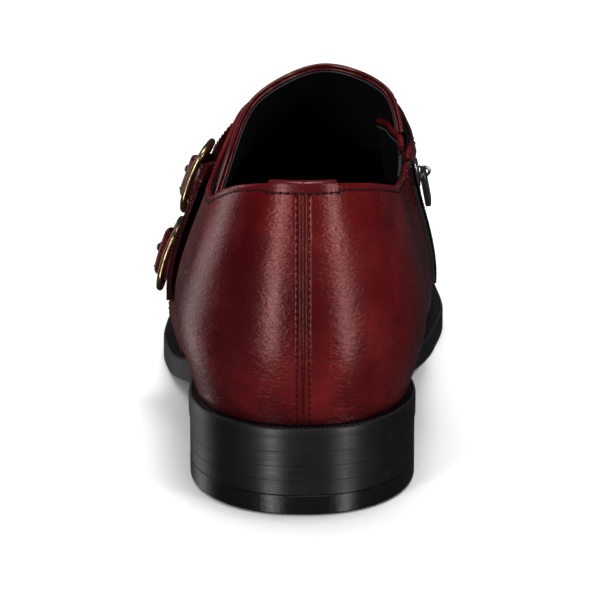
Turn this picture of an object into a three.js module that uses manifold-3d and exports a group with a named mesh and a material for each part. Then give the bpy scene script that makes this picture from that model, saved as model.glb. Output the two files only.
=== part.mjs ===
// Left double monk strap shoe with a side zip. Millimetres, +Z up, +Y from heel to toe,
// +X to the inner (medial) side of the foot. The origin is under the middle of the heel,
// on the floor.
import * as THREE from 'three';
import { mergeVertices } from 'three/addons/utils/BufferGeometryUtils.js';
import Module from 'manifold-3d';

const wasm = await Module();
wasm.setup();

// Overall sizes.
const SHOE_LENGTH = 306;
const ORIGIN_FROM_HEEL = 36;
const GAP = 0.3;
const OUTSOLE_THICK = 4.5;
const WELT_THICK = 2.7;
const INSOLE_THICK = 5.5;
const UPPER_WALL = 2;
const TONGUE_THICK = 2.2;
const STRAP_THICK = 1.7;
const FLAP_THICK = 1.6;

// Where the rounded heel and toe ends of the form begin, and how square they are.
const HEEL_SHARE = 0.24;
const TOE_SHARE = 0.24;
const HEEL_ROUND_FROM = 45;
const TOE_ROUND_FROM = 245;
const HEEL_SQUARENESS = 2.25;
const TOE_SQUARENESS = 2.1;

// Heel block.
const TOPLIFT_THICK = 6.1;
const LIFT_THICK = 4.2;
const THINNEST_LIFT = 2;
const HEEL_BREAST = 74;
const HEEL_INSET = 0.3;

// Side of the shoe: -1 is the outer (lateral) side, +1 is the inner (medial) side.
const LATERAL = -1;
const MEDIAL = 1;

// Tread edge seen from above: half-widths from the middle line.
const SOLE_EDGE = [
  { fromHeel: 0, lateral: 35.4, medial: 35.4, middle: 0 },
  { fromHeel: 45, lateral: 35.8, medial: 35.6, middle: 0 },
  { fromHeel: 75, lateral: 35.6, medial: 33, middle: 0 },
  { fromHeel: 100, lateral: 37.8, medial: 31, middle: 0 },
  { fromHeel: 125, lateral: 42, medial: 33.2, middle: 0 },
  { fromHeel: 150, lateral: 46.8, medial: 39, middle: 0 },
  { fromHeel: 182, lateral: 50.4, medial: 47.4, middle: 0.2 },
  { fromHeel: 215, lateral: 49.4, medial: 51.4, middle: 1 },
  { fromHeel: 245, lateral: 44.6, medial: 47.4, middle: 3 },
  { fromHeel: 306, lateral: 37, medial: 38, middle: 8 },
];

// Underside of the tread, above the floor: seat, arch, flat of the ball, toe spring.
const SOLE_RISE = [
  { fromHeel: 0, rise: 19.9 },
  { fromHeel: 40, rise: 19.6 },
  { fromHeel: 70, rise: 18.4 },
  { fromHeel: 90, rise: 14.8 },
  { fromHeel: 110, rise: 9.6 },
  { fromHeel: 130, rise: 4.6 },
  { fromHeel: 150, rise: 1.2 },
  { fromHeel: 168, rise: 0 },
  { fromHeel: 208, rise: 0 },
  { fromHeel: 230, rise: 1 },
  { fromHeel: 260, rise: 4.4 },
  { fromHeel: 285, rise: 8.6 },
  { fromHeel: 306, rise: 12.5 },
];

// How far the welt stands out past the foot line of the upper.
const WELT_STEP = [
  { fromHeel: 0, step: 2.8 },
  { fromHeel: 60, step: 2.4 },
  { fromHeel: 110, step: 2.2 },
  { fromHeel: 150, step: 3.6 },
  { fromHeel: 190, step: 4.4 },
  { fromHeel: 245, step: 5 },
  { fromHeel: 306, step: 5 },
];

// Outside of the upper: half-widths at the swell and the shoulder of each section, the
// place of the crown, their heights above the foot line, and the share of the rise from
// shoulder to crown that is reached at the brow between them.
const FORM = [
  { fromHeel: 0, swellLat: 36.6, swellMed: 36.6, swellUp: 24, shoulderLat: 29,
    shoulderMed: 29, shoulderUp: 62, crownAcross: 0, crownUp: 88, browLat: 0.72, browMed: 0.72 },
  { fromHeel: 45, swellLat: 39, swellMed: 38.8, swellUp: 22, shoulderLat: 28.8,
    shoulderMed: 31, shoulderUp: 59, crownAcross: 0.5, crownUp: 90, browLat: 0.69, browMed: 0.755 },
  { fromHeel: 75, swellLat: 41.2, swellMed: 41.2, swellUp: 22, shoulderLat: 30.6,
    shoulderMed: 35.4, shoulderUp: 59, crownAcross: 4, crownUp: 96, browLat: 0.69, browMed: 0.755 },
  { fromHeel: 100, swellLat: 41.4, swellMed: 42.2, swellUp: 22, shoulderLat: 28.5,
    shoulderMed: 37.6, shoulderUp: 64, crownAcross: 7, crownUp: 103.4, browLat: 0.69, browMed: 0.755 },
  { fromHeel: 112, swellLat: 42, swellMed: 42.6, swellUp: 21.5, shoulderLat: 28,
    shoulderMed: 36.6, shoulderUp: 64, crownAcross: 7.6, crownUp: 103.4, browLat: 0.69, browMed: 0.755 },
  { fromHeel: 125, swellLat: 43.6, swellMed: 43.2, swellUp: 20.5, shoulderLat: 29,
    shoulderMed: 35, shoulderUp: 61, crownAcross: 8, crownUp: 97, browLat: 0.69, browMed: 0.755 },
  { fromHeel: 150, swellLat: 46.4, swellMed: 45, swellUp: 17.5, shoulderLat: 32,
    shoulderMed: 34, shoulderUp: 54, crownAcross: 7.5, crownUp: 84, browLat: 0.69, browMed: 0.755 },
  { fromHeel: 182, swellLat: 48, swellMed: 46.6, swellUp: 14.5, shoulderLat: 36.5,
    shoulderMed: 37, shoulderUp: 43, crownAcross: 5.5, crownUp: 68, browLat: 0.69, browMed: 0.755 },
  { fromHeel: 215, swellLat: 46, swellMed: 48, swellUp: 12.5, shoulderLat: 37,
    shoulderMed: 38.5, shoulderUp: 31.5, crownAcross: 4.5, crownUp: 51.5, browLat: 0.69, browMed: 0.755 },
  { fromHeel: 245, swellLat: 40.6, swellMed: 43.2, swellUp: 10.5, shoulderLat: 33,
    shoulderMed: 35, shoulderUp: 24, crownAcross: 5, crownUp: 36.5, browLat: 0.69, browMed: 0.755 },
  { fromHeel: 306, swellLat: 33.5, swellMed: 34.5, swellUp: 6, shoulderLat: 28,
    shoulderMed: 29, shoulderUp: 10.5, crownAcross: 8, crownUp: 10, browLat: 0.55, browMed: 0.55 },
];

// Ends of each level of the form, from the back of the heel and back from the toe.
const LEVEL_ENDS = {
  swell: { back: -2.4, toe: 4.4 },
  shoulder: { back: 1.8, toe: 9 },
  crown: { back: 30, toe: 32 },
};

// Top edge of the upper in side view, one line for each side.
const TOPLINE = [
  { fromHeel: -20, lateral: 101, medial: 101 },
  { fromHeel: 5, lateral: 100.8, medial: 100.8 },
  { fromHeel: 14, lateral: 98.8, medial: 99.2 },
  { fromHeel: 28, lateral: 94, medial: 95.6 },
  { fromHeel: 44, lateral: 88.4, medial: 91.8 },
  { fromHeel: 58, lateral: 85.4, medial: 91 },
  { fromHeel: 68, lateral: 84.8, medial: 92.4 },
  { fromHeel: 80, lateral: 86.2, medial: 94.4 },
  { fromHeel: 94, lateral: 91, medial: 96.4 },
  { fromHeel: 108, lateral: 98, medial: 99.5 },
  { fromHeel: 120, lateral: 105, medial: 105 },
  { fromHeel: 131, lateral: 118, medial: 118 },
];
// Block that cuts the throat: its roof, its reach to each side, the width over which the
// line of one side turns into the line of the other, and its number of steps.
const THROAT_BLOCK = { roof: 180, reach: 80, blend: 14, steps: 40 };

// Tongue: where its rear edge and its hidden front edge lie for each place across the
// form, from -1 (outer foot line) over 0 (crown) to +1 (inner foot line).
const TONGUE_EDGE = [
  { over: -0.51, rear: 72, front: 112 },
  { over: -0.46, rear: 78, front: 120 },
  { over: -0.4, rear: 86, front: 130 },
  { over: -0.3, rear: 94, front: 146 },
  { over: -0.2, rear: 101, front: 158 },
  { over: -0.1, rear: 107, front: 166 },
  { over: 0, rear: 109, front: 168 },
  { over: 0.1, rear: 107, front: 166 },
  { over: 0.2, rear: 102, front: 158 },
  { over: 0.3, rear: 96, front: 146 },
  { over: 0.38, rear: 92, front: 132 },
];

// Straps: the middle of each strap from the inner side, over the instep and back to its
// buckle on the outer side. Lift is its height above the upper.
const UPPER_STRAP = [
  { fromHeel: 116, over: 0.46, lift: 0.8 },
  { fromHeel: 128, over: 0.32, lift: 0.8 },
  { fromHeel: 139, over: 0.16, lift: 0.8 },
  { fromHeel: 144, over: 0, lift: 0.8 },
  { fromHeel: 141, over: -0.17, lift: 0.9 },
  { fromHeel: 131, over: -0.34, lift: 1.4 },
  { fromHeel: 120, over: -0.45, lift: 2.3 },
  { fromHeel: 112, over: -0.49, lift: 2.3 },
  { fromHeel: 109, over: -0.5, lift: 2.3 },
  { fromHeel: 106, over: -0.51, lift: 5 },
  { fromHeel: 102, over: -0.52, lift: 7.8 },
  { fromHeel: 98, over: -0.526, lift: 5 },
  { fromHeel: 95, over: -0.532, lift: 2.6 },
  { fromHeel: 91, over: -0.54, lift: 2.9 },
];
const LOWER_STRAP = [
  { fromHeel: 134, over: 0.62, lift: 0.8 },
  { fromHeel: 149, over: 0.44, lift: 0.8 },
  { fromHeel: 164, over: 0.24, lift: 0.8 },
  { fromHeel: 171, over: 0, lift: 0.8 },
  { fromHeel: 168, over: -0.24, lift: 0.9 },
  { fromHeel: 154, over: -0.47, lift: 1.4 },
  { fromHeel: 134, over: -0.605, lift: 2.3 },
  { fromHeel: 122, over: -0.643, lift: 2.3 },
  { fromHeel: 119, over: -0.651, lift: 2.3 },
  { fromHeel: 116, over: -0.658, lift: 5 },
  { fromHeel: 112, over: -0.666, lift: 7.8 },
  { fromHeel: 108, over: -0.674, lift: 5 },
  { fromHeel: 105, over: -0.68, lift: 2.6 },
  { fromHeel: 101, over: -0.687, lift: 2.9 },
];
const STRAP_WIDE = 15;

// Panel inside the throat from the zip to under the tongue: its top and bottom edges over
// the form and its depth inside it.
const GUSSET = [
  { fromHeel: 85, top: 0.415, bottom: 0.51, depth: 4 },
  { fromHeel: 91, top: 0.402, bottom: 0.52, depth: 4.6 },
  { fromHeel: 96, top: 0.385, bottom: 0.52, depth: 7.1 },
  { fromHeel: 101, top: 0.365, bottom: 0.52, depth: 8.2 },
  { fromHeel: 107, top: 0.345, bottom: 0.5, depth: 10.2 },
];
const GUSSET_THICK = 1.6;

// Flap under the buckles, sewn down at its front edge; its rear edge stands off the upper.
const FLAP_EDGE = [
  { over: -0.475, rear: 90, front: 106 },
  { over: -0.505, rear: 81, front: 120 },
  { over: -0.56, rear: 82, front: 130 },
  { over: -0.66, rear: 88, front: 134 },
  { over: -0.73, rear: 97, front: 130 },
  { over: -0.762, rear: 109, front: 119 },
];
const FLAP_STAND = 2;

// Buckles: a rounded frame of round wire with a bar across its middle.
const BUCKLE = { long: 20, tall: 25, corner: 5.5, wire: 1.2, bar: 1, lift: 6.4, bow: 1.2 };
const WIRE_SIDES = 8;
const PRONG_WIRE = 0.8;
const PRONG = [
  { along: 0.4, out: 2.1 },
  { along: 1.4, out: 3.3 },
  { along: 3, out: 3.5 },
  { along: 5.5, out: 3.1 },
  { along: 8, out: 2.6 },
  { along: 10.2, out: 2.2 },
];
const BUCKLES = [
  { name: 'buckle_upper', strap: UPPER_STRAP, fromHeel: 102, over: -0.52 },
  { name: 'buckle_lower', strap: LOWER_STRAP, fromHeel: 112, over: -0.666 },
];

// Zip on the inner side: its middle line from the top edge down, and its sizes.
const ZIP_LINE = [
  { fromHeel: 71, over: 0.36, lift: 0 },
  { fromHeel: 75, over: 0.44, lift: 0 },
  { fromHeel: 79, over: 0.53, lift: 0 },
  { fromHeel: 84, over: 0.61, lift: 0 },
  { fromHeel: 89, over: 0.68, lift: 0 },
];
const ZIP_END = { fromHeel: 91, over: 0.71, lift: 0 };
const ZIP_SLOT = { wide: 5, thick: 9, from: -5 };
const ZIP_TEETH = { wide: 4, thick: 2.4, from: -0.9 };
const ZIP_TAPE = { wide: 12, thick: 1, from: -3.7 };
const ZIP_SLIDER = { long: 8.5, wide: 6.5, thick: 0.9, from: 1.6, corner: 1.6 };
const ZIP_PULL = {
  long: 12.5, wide: 6, thick: 1.8, from: 2.9, top: 0.7, eye: 1.8, eyeDown: 2.35, corner: 1.4,
};
const ZIP_BRIDGE = { reach: 2.1, rise: 3.8, sunk: 0.3, wire: 0.5, pivot: 0.3 };
const ZIP_AT = { fromHeel: 76, over: 0.463 };

// Colours of the materials.
const OXBLOOD = { color: 0x6a161c, roughness: 0.35, metalness: 0 };
const OXBLOOD_STRAP = { color: 0x5c1218, roughness: 0.35, metalness: 0 };
const BLACK_SOLE = { color: 0x16161a, roughness: 0.45, metalness: 0 };
const BLACK_RUBBER = { color: 0x0e0e10, roughness: 0.7, metalness: 0 };
const TAN_INSOLE = { color: 0x2a2424, roughness: 0.8, metalness: 0 };
const ANTIQUE_BRASS = { color: 0x9a7b45, roughness: 0.35, metalness: 1 };
const DARK_STEEL = { color: 0xb9bcc0, roughness: 0.3, metalness: 1 };
const BLACK_TAPE = { color: 0x1b1b1e, roughness: 0.9, metalness: 0 };

// Smooth curve through one column of a table, flat between equal values.
function column(table, key, along = 'fromHeel') {
  const at = table.map((row) => row[along]);
  const value = table.map((row) => row[key]);
  const last = at.length - 1;
  const secant = value.slice(1).map((v, i) => (v - value[i]) / (at[i + 1] - at[i]));
  const slope = value.map((v, i) => {
    if (i === 0) return secant[0];
    if (i === last) return secant[last - 1];
    if (secant[i - 1] * secant[i] <= 0) return 0;
    return 2 / (1 / secant[i - 1] + 1 / secant[i]);
  });
  return (x) => {
    if (x <= at[0]) return value[0];
    if (x >= at[last]) return value[last];
    const i = at.findIndex((a) => a > x) - 1;
    const span = at[i + 1] - at[i];
    const s = (x - at[i]) / span;
    const rise = value[i + 1] - value[i];
    const bend = (secant[i] * 3 - slope[i] * 2 - slope[i + 1]) * span;
    const twist = (slope[i] + slope[i + 1] - secant[i] * 2) * span;
    return value[i] + (rise === 0 && bend === 0 ? 0 : s * (slope[i] * span + s * (bend + s * twist)));
  };
}

const soleLateral = column(SOLE_EDGE, 'lateral');
const soleMedial = column(SOLE_EDGE, 'medial');
const soleMiddle = column(SOLE_EDGE, 'middle');
const soleRise = column(SOLE_RISE, 'rise');
const weltStep = column(WELT_STEP, 'step');
const form = Object.fromEntries(
  Object.keys(FORM[0]).filter((key) => key !== 'fromHeel').map((key) => [key, column(FORM, key)]),
);

const outsoleTop = (y) => soleRise(y) + OUTSOLE_THICK;
const weltTop = (y) => outsoleTop(y) + GAP + WELT_THICK;
const footLine = (y) => weltTop(y) + GAP;

// A place around the form: 0 is the back of the heel, 1 is the tip of the toe, on one
// side. Returns the distance from the heel and how much of the half-width is left.
function stationAt(around, back, toe) {
  if (around < HEEL_SHARE) {
    const turn = (around / HEEL_SHARE) * (Math.PI / 2);
    return {
      y: back + (HEEL_ROUND_FROM - back) * (1 - Math.cos(turn)),
      wide: Math.sin(turn) ** (2 / HEEL_SQUARENESS),
    };
  }
  if (around > 1 - TOE_SHARE) {
    const turn = ((1 - around) / TOE_SHARE) * (Math.PI / 2);
    return {
      y: TOE_ROUND_FROM + (toe - TOE_ROUND_FROM) * Math.cos(turn),
      wide: Math.sin(turn) ** (2 / TOE_SQUARENESS),
    };
  }
  const share = (around - HEEL_SHARE) / (1 - HEEL_SHARE - TOE_SHARE);
  return { y: HEEL_ROUND_FROM + (TOE_ROUND_FROM - HEEL_ROUND_FROM) * share, wide: 1 };
}

// The place around the form that lies a given distance from the heel, on the sides.
function aroundAt(fromHeel) {
  const share = (fromHeel - HEEL_ROUND_FROM) / (TOE_ROUND_FROM - HEEL_ROUND_FROM);
  return HEEL_SHARE + share * (1 - HEEL_SHARE - TOE_SHARE);
}

// Edge of the tread, drawn in by an inset.
function soleEdgeAt(around, side, inset) {
  const { y, wide } = stationAt(around, inset, SHOE_LENGTH - inset);
  const half = side === LATERAL ? soleLateral(y) : soleMedial(y);
  return { x: soleMiddle(y) + side * (half - inset) * wide, y };
}

// Height of the crown line along the shoe.
const ridgeHeight = (y) => footLine(y) + form.crownUp(y);

// One rib of the upper's outside, from the foot line to the crown. Up runs from 0 to 1.
function ribCurve(around, side, inset) {
  const rough = stationAt(around, 0, SHOE_LENGTH).y;
  const foot = soleEdgeAt(around, side, weltStep(rough) + inset);
  const level = (name, half, up, acrossAt) => {
    const ends = LEVEL_ENDS[name];
    const spot = stationAt(around, ends.back + inset, SHOE_LENGTH - ends.toe - inset);
    return new THREE.Vector3(
      acrossAt(spot.y) + side * Math.max(half(spot.y) - inset, 0) * spot.wide,
      spot.y,
      footLine(spot.y) + up(spot.y),
    );
  };
  const pick = (lateral, medial) => (side === LATERAL ? lateral : medial);
  const swell = level('swell', pick(form.swellLat, form.swellMed), form.swellUp, soleMiddle);
  const shoulder = level(
    'shoulder', pick(form.shoulderLat, form.shoulderMed),
    (y) => form.shoulderUp(y) - inset * 0.6, soleMiddle,
  );
  const crown = level('crown', () => 0, (y) => form.crownUp(y) - inset, form.crownAcross);
  const start = new THREE.Vector3(foot.x, foot.y, footLine(foot.y));
  const share = pick(form.browLat, form.browMed)(shoulder.y);
  const brow = shoulder.clone().lerp(crown, 1 - share);
  brow.z = THREE.MathUtils.lerp(shoulder.z, crown.z, share);
  const slope = (ridgeHeight(crown.y + 1) - ridgeHeight(crown.y - 1)) / 2;
  const far = (p) => new THREE.Vector3(
    2 * crown.x - p.x, 2 * crown.y - p.y, p.z + 2 * slope * (crown.y - p.y),
  );
  return new THREE.CatmullRomCurve3(
    [start, swell, shoulder, brow, crown, far(brow), far(shoulder), far(swell), far(start)],
    false, 'centripetal',
  );
}

const ribPoint = (around, side, up, inset) => ribCurve(around, side, inset).getPoint(up / 2);

// A point on the form between heel and toe rounds. Over runs from -1 at the outer foot
// line, over the crown at 0, to +1 at the inner foot line.
function formPoint(fromHeel, over, inset) {
  const side = over < 0 ? LATERAL : MEDIAL;
  return ribPoint(aroundAt(fromHeel), side, 1 - Math.abs(over), inset);
}

function formNormal(fromHeel, over, inset) {
  const step = 0.02;
  const ahead = formPoint(fromHeel + 1, over, inset).sub(formPoint(fromHeel - 1, over, inset));
  const across = formPoint(fromHeel, over + step, inset)
    .sub(formPoint(fromHeel, over - step, inset));
  return across.cross(ahead).normalize();
}

// Closed mesh from corner points and faces, moved so that the origin is under the heel.
function closedMesh(points, faces) {
  const flat = new Float32Array(faces.length * 9);
  faces.forEach((face, f) => face.forEach((corner, c) => {
    const p = points[corner];
    flat.set([p.x, p.y - ORIGIN_FROM_HEEL, p.z], f * 9 + c * 3);
  }));
  const geometry = new THREE.BufferGeometry();
  geometry.setAttribute('position', new THREE.BufferAttribute(flat, 3));
  return mergeVertices(geometry, 1e-4);
}

// Faces between two rows of corner numbers that have the same length.
function band(faces, rowA, rowB, flip = false) {
  for (let i = 0; i + 1 < rowA.length; i += 1) {
    const quad = [rowA[i], rowA[i + 1], rowB[i + 1], rowB[i]];
    if (flip) quad.reverse();
    faces.push([quad[0], quad[1], quad[2]], [quad[0], quad[2], quad[3]]);
  }
}

// Solid from a run of closed cross-section rings, capped at both ends.
function ringSolid(rings) {
  const points = rings.flat();
  const size = rings[0].length;
  const faces = [];
  const row = (r) => Array.from({ length: size + 1 }, (_, i) => r * size + (i % size));
  for (let r = 0; r + 1 < rings.length; r += 1) band(faces, row(r), row(r + 1));
  const cap = (r, flip) => {
    const half = size / 2;
    for (let i = 0; i + 1 < half; i += 1) {
      const quad = [i, i + 1, size - 2 - i, size - 1 - i].map((c) => r * size + c);
      if (flip) quad.reverse();
      faces.push([quad[0], quad[1], quad[2]], [quad[0], quad[2], quad[3]]);
    }
  };
  cap(0, true);
  cap(rings.length - 1, false);
  return closedMesh(points, faces);
}

function toSolid(geometry) {
  const clean = geometry.clone();
  clean.deleteAttribute('normal');
  clean.deleteAttribute('uv');
  const merged = mergeVertices(clean, 1e-4);
  return new wasm.Manifold(new wasm.Mesh({
    numProp: 3,
    vertProperties: new Float32Array(merged.attributes.position.array),
    triVerts: new Uint32Array(merged.index.array),
  }));
}

function fromSolid(solid) {
  const mesh = solid.getMesh();
  const geometry = new THREE.BufferGeometry();
  geometry.setAttribute('position', new THREE.BufferAttribute(mesh.vertProperties, 3));
  geometry.setIndex(new THREE.BufferAttribute(mesh.triVerts, 1));
  return geometry;
}

// Plate whose edge is the tread edge drawn in by an inset, between two heights.
function soleplate({ insetLow, insetHigh, low, high, steps, until = SHOE_LENGTH }) {
  const rings = [];
  for (let i = 0; i <= steps; i += 1) {
    const around = i / steps;
    const start = stationAt(around, insetLow(0), SHOE_LENGTH).y;
    const ring = [];
    for (const [side, inset, height] of [
      [LATERAL, insetLow, low], [LATERAL, insetHigh, high],
      [MEDIAL, insetHigh, high], [MEDIAL, insetLow, low],
    ]) {
      const edge = soleEdgeAt(around, side, inset(start));
      const y = Math.min(edge.y, until);
      ring.push(new THREE.Vector3(edge.x, y, height(y)));
    }
    rings.push(ring);
    if (start >= until) break;
  }
  return ringSolid(rings);
}

// Ring that follows the tread edge, between an outer and an inner inset.
function weltRing({ outer, inner, low, high, steps }) {
  const corners = [];
  const total = steps * 2;
  for (let i = 0; i < total; i += 1) {
    const around = i <= steps ? i / steps : (total - i) / steps;
    const side = i <= steps ? LATERAL : MEDIAL;
    const start = stationAt(around, 0, SHOE_LENGTH).y;
    for (const [inset, height] of [[outer, low], [outer, high], [inner, high], [inner, low]]) {
      const edge = soleEdgeAt(around, side, inset(start));
      corners.push(new THREE.Vector3(edge.x, edge.y, height(edge.y)));
    }
  }
  const faces = [];
  for (let i = 0; i < total; i += 1) {
    const here = i * 4;
    const next = ((i + 1) % total) * 4;
    band(faces, [0, 1, 2, 3, 0].map((c) => here + c), [0, 1, 2, 3, 0].map((c) => next + c));
  }
  return closedMesh(corners, faces);
}

// Hollow upper: outside and inside of the form joined by a flat rim at the foot line.
function upperShell(steps, rise) {
  const points = [];
  const faces = [];
  const total = steps * 2;
  const skin = (inset) => {
    const rows = [];
    for (let i = 0; i < total; i += 1) {
      const around = i <= steps ? i / steps : (total - i) / steps;
      const curve = ribCurve(around, i <= steps ? LATERAL : MEDIAL, inset);
      const row = [];
      for (let j = 0; j <= rise; j += 1) {
        row.push(points.length);
        points.push(curve.getPoint(j / rise / 2));
      }
      rows.push(row);
    }
    rows.push(rows[0]);
    return rows;
  };
  const outside = skin(0);
  const inside = skin(UPPER_WALL);
  for (let i = 0; i < total; i += 1) {
    band(faces, outside[i], outside[i + 1]);
    band(faces, inside[i], inside[i + 1], true);
    band(faces, [inside[i][0], outside[i][0]], [inside[i + 1][0], outside[i + 1][0]]);
  }
  return closedMesh(points, faces);
}

// Block that fills the space above a line drawn in side view, one line for each side.
function throatCutter() {
  const lateral = column(TOPLINE, 'lateral');
  const medial = column(TOPLINE, 'medial');
  const start = TOPLINE[0].fromHeel;
  const end = TOPLINE[TOPLINE.length - 1].fromHeel;
  const { roof, reach, blend, steps } = THROAT_BLOCK;
  const rings = [];
  for (let i = 0; i <= steps; i += 1) {
    const y = start + ((end - start) * i) / steps;
    const at = (x, z) => new THREE.Vector3(x, y, z);
    rings.push([
      at(-reach, lateral(y)), at(-reach, roof), at(-blend, roof), at(blend, roof),
      at(reach, roof), at(reach, medial(y)), at(blend, medial(y)), at(-blend, lateral(y)),
    ]);
  }
  const size = rings[0].length;
  const points = rings.flat();
  const faces = [];
  const row = (r) => Array.from({ length: size + 1 }, (_, i) => r * size + (i % size));
  for (let r = 0; r < steps; r += 1) band(faces, row(r), row(r + 1));
  for (const [r, flip] of [[0, true], [steps, false]]) {
    const base = r * size;
    for (const quad of [[0, 1, 2, 7], [7, 2, 3, 6], [6, 3, 4, 5]]) {
      const q = quad.map((c) => base + c);
      if (flip) q.reverse();
      faces.push([q[0], q[1], q[2]], [q[0], q[2], q[3]]);
    }
  }
  return closedMesh(points, faces);
}

// Leather sheet that lies on the form. Row and place run from 0 to 1; the spot function
// gives the distance from the heel, the place over the form and the lift at each.
function formSheet(rows, places, spotAt, thickness) {
  const rings = [];
  for (let r = 0; r <= rows; r += 1) {
    const under = [];
    const above = [];
    for (let p = 0; p <= places; p += 1) {
      const spot = spotAt(r / rows, p / places);
      const point = formPoint(spot.fromHeel, spot.over, spot.inset || 0);
      const normal = formNormal(spot.fromHeel, spot.over, spot.inset || 0);
      under.push(point.clone().addScaledVector(normal, spot.lift));
      above.push(point.clone().addScaledVector(normal, spot.lift + thickness));
    }
    rings.push([...under, ...above.reverse()]);
  }
  return ringSolid(rings);
}

// Tongue inside the upper, its rear edge standing up as the arch over the instep.
function tongueSheet() {
  const rear = column(TONGUE_EDGE, 'rear', 'over');
  const front = column(TONGUE_EDGE, 'front', 'over');
  const low = TONGUE_EDGE[0].over;
  const high = TONGUE_EDGE[TONGUE_EDGE.length - 1].over;
  return formSheet(26, 6, (across, along) => {
    const over = low + (high - low) * across;
    return {
      fromHeel: rear(over) + (front(over) - rear(over)) * along,
      over,
      inset: UPPER_WALL,
      lift: -2 * GAP - TONGUE_THICK,
    };
  }, TONGUE_THICK);
}

// Strap along a table of places on the form, with a rounded tip at its far end if asked.
function strapSheet(table, { wide, thick, tip = 1, rows = 36, places = 4 }) {
  const stops = table.map((row) => new THREE.Vector3(row.fromHeel, row.over * 100, row.lift));
  const path = new THREE.CatmullRomCurve3(stops, false, 'centripetal');
  return formSheet(rows, places, (along, place) => {
    const run = Math.min(along, 0.999);
    const spot = path.getPoint(along);
    const ahead = path.getPoint(Math.min(run + 0.01, 1));
    const behind = path.getPoint(Math.max(run - 0.01, 0));
    const here = formPoint(spot.x, spot.y / 100, 0);
    const onward = formPoint(ahead.x, ahead.y / 100, 0).sub(formPoint(behind.x, behind.y / 100, 0));
    const normal = formNormal(spot.x, spot.y / 100, 0);
    const sideways = onward.cross(normal).normalize();
    const past = along <= tip ? 0 : (along - tip) / (1 - tip);
    const narrow = Math.sqrt(Math.max(0.04, 1 - past ** 2));
    const reach = (0.5 - place) * wide * narrow;
    const perHeel = formPoint(spot.x + 1, spot.y / 100, 0).sub(here);
    const perOver = formPoint(spot.x, spot.y / 100 + 0.01, 0).sub(here).multiplyScalar(100);
    const [heelStep, overStep] = solveOnSurface(perHeel, perOver, sideways.multiplyScalar(reach));
    return { fromHeel: spot.x + heelStep, over: spot.y / 100 + overStep, lift: spot.z };
  }, thick);
}

// Least-squares split of a move into two surface directions.
function solveOnSurface(a, b, move) {
  const aa = a.dot(a);
  const ab = a.dot(b);
  const bb = b.dot(b);
  const am = a.dot(move);
  const bm = b.dot(move);
  const scale = aa * bb - ab * ab;
  return [(am * bb - bm * ab) / scale, (bm * aa - am * ab) / scale];
}

// Panel between the zip and the tongue.
function gussetSheet() {
  const top = column(GUSSET, 'top');
  const bottom = column(GUSSET, 'bottom');
  const depth = column(GUSSET, 'depth');
  const from = GUSSET[0].fromHeel;
  const to = GUSSET[GUSSET.length - 1].fromHeel;
  return formSheet(10, 6, (along, down) => {
    const fromHeel = from + (to - from) * along;
    return {
      fromHeel,
      over: bottom(fromHeel) + (top(fromHeel) - bottom(fromHeel)) * down,
      lift: -depth(fromHeel),
    };
  }, GUSSET_THICK);
}

// Flap under the buckles.
function flapSheet() {
  const low = FLAP_EDGE[FLAP_EDGE.length - 1].over;
  const high = FLAP_EDGE[0].over;
  const table = [...FLAP_EDGE].reverse();
  const rear = column(table, 'rear', 'over');
  const front = column(table, 'front', 'over');
  return formSheet(16, 6, (across, along) => {
    const over = low + (high - low) * across;
    return {
      fromHeel: rear(over) + (front(over) - rear(over)) * along,
      over,
      lift: GAP + FLAP_STAND * Math.max(0, 1 - along * 2.2) ** 2,
    };
  }, FLAP_THICK);
}

// Frame of directions at a buckle: along the strap, across it and out of the shoe.
function buckleSpot({ strap, fromHeel, over }) {
  const i = strap.findIndex((row) => row.fromHeel === fromHeel);
  const ahead = formPoint(strap[i - 1].fromHeel, strap[i - 1].over, 0);
  const behind = formPoint(strap[i + 1].fromHeel, strap[i + 1].over, 0);
  const out = formNormal(fromHeel, over, 0);
  const along = ahead.sub(behind).projectOnPlane(out).normalize();
  const across = out.clone().cross(along).normalize();
  const middle = formPoint(fromHeel, over, 0).addScaledVector(out, BUCKLE.lift);
  return { middle, along, across, out };
}

function fromSpot(spot, along, across, out) {
  return spot.middle.clone()
    .addScaledVector(spot.along, along)
    .addScaledVector(spot.across, across)
    .addScaledVector(spot.out, out);
}

// Round wire through a run of stops; each stop has a middle and two directions.
function wireRings(stops, radius, sides) {
  return stops.map(({ middle, first, second }) => Array.from({ length: sides }, (_, i) => {
    const turn = (i / sides) * 2 * Math.PI;
    return middle.clone()
      .addScaledVector(first, Math.cos(turn) * radius)
      .addScaledVector(second, Math.sin(turn) * radius);
  }));
}

// Rounded rectangle of wire, bowed a little to follow the foot.
function buckleFrame(spot) {
  const halfLong = BUCKLE.long / 2 - BUCKLE.wire;
  const halfTall = BUCKLE.tall / 2 - BUCKLE.wire;
  const turnSteps = 4;
  const stops = [];
  for (const [a, b, start] of [[1, 1, 0], [-1, 1, 1], [-1, -1, 2], [1, -1, 3]]) {
    for (let i = 0; i <= turnSteps; i += 1) {
      const turn = (start + i / turnSteps) * (Math.PI / 2);
      const along = a * (halfLong - BUCKLE.corner) + Math.cos(turn) * BUCKLE.corner;
      const across = b * (halfTall - BUCKLE.corner) + Math.sin(turn) * BUCKLE.corner;
      const bow = -BUCKLE.bow * (across / halfTall) ** 2;
      const first = spot.along.clone().multiplyScalar(Math.cos(turn))
        .addScaledVector(spot.across, Math.sin(turn));
      stops.push({ middle: fromSpot(spot, along, across, bow), first, second: spot.out });
    }
  }
  const rings = wireRings(stops, BUCKLE.wire, WIRE_SIDES);
  const points = rings.flat();
  const faces = [];
  const row = (r) => Array.from(
    { length: WIRE_SIDES + 1 }, (_, i) => (r % rings.length) * WIRE_SIDES + (i % WIRE_SIDES),
  );
  for (let r = 0; r < rings.length; r += 1) band(faces, row(r), row(r + 1), true);
  return closedMesh(points, faces);
}

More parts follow.
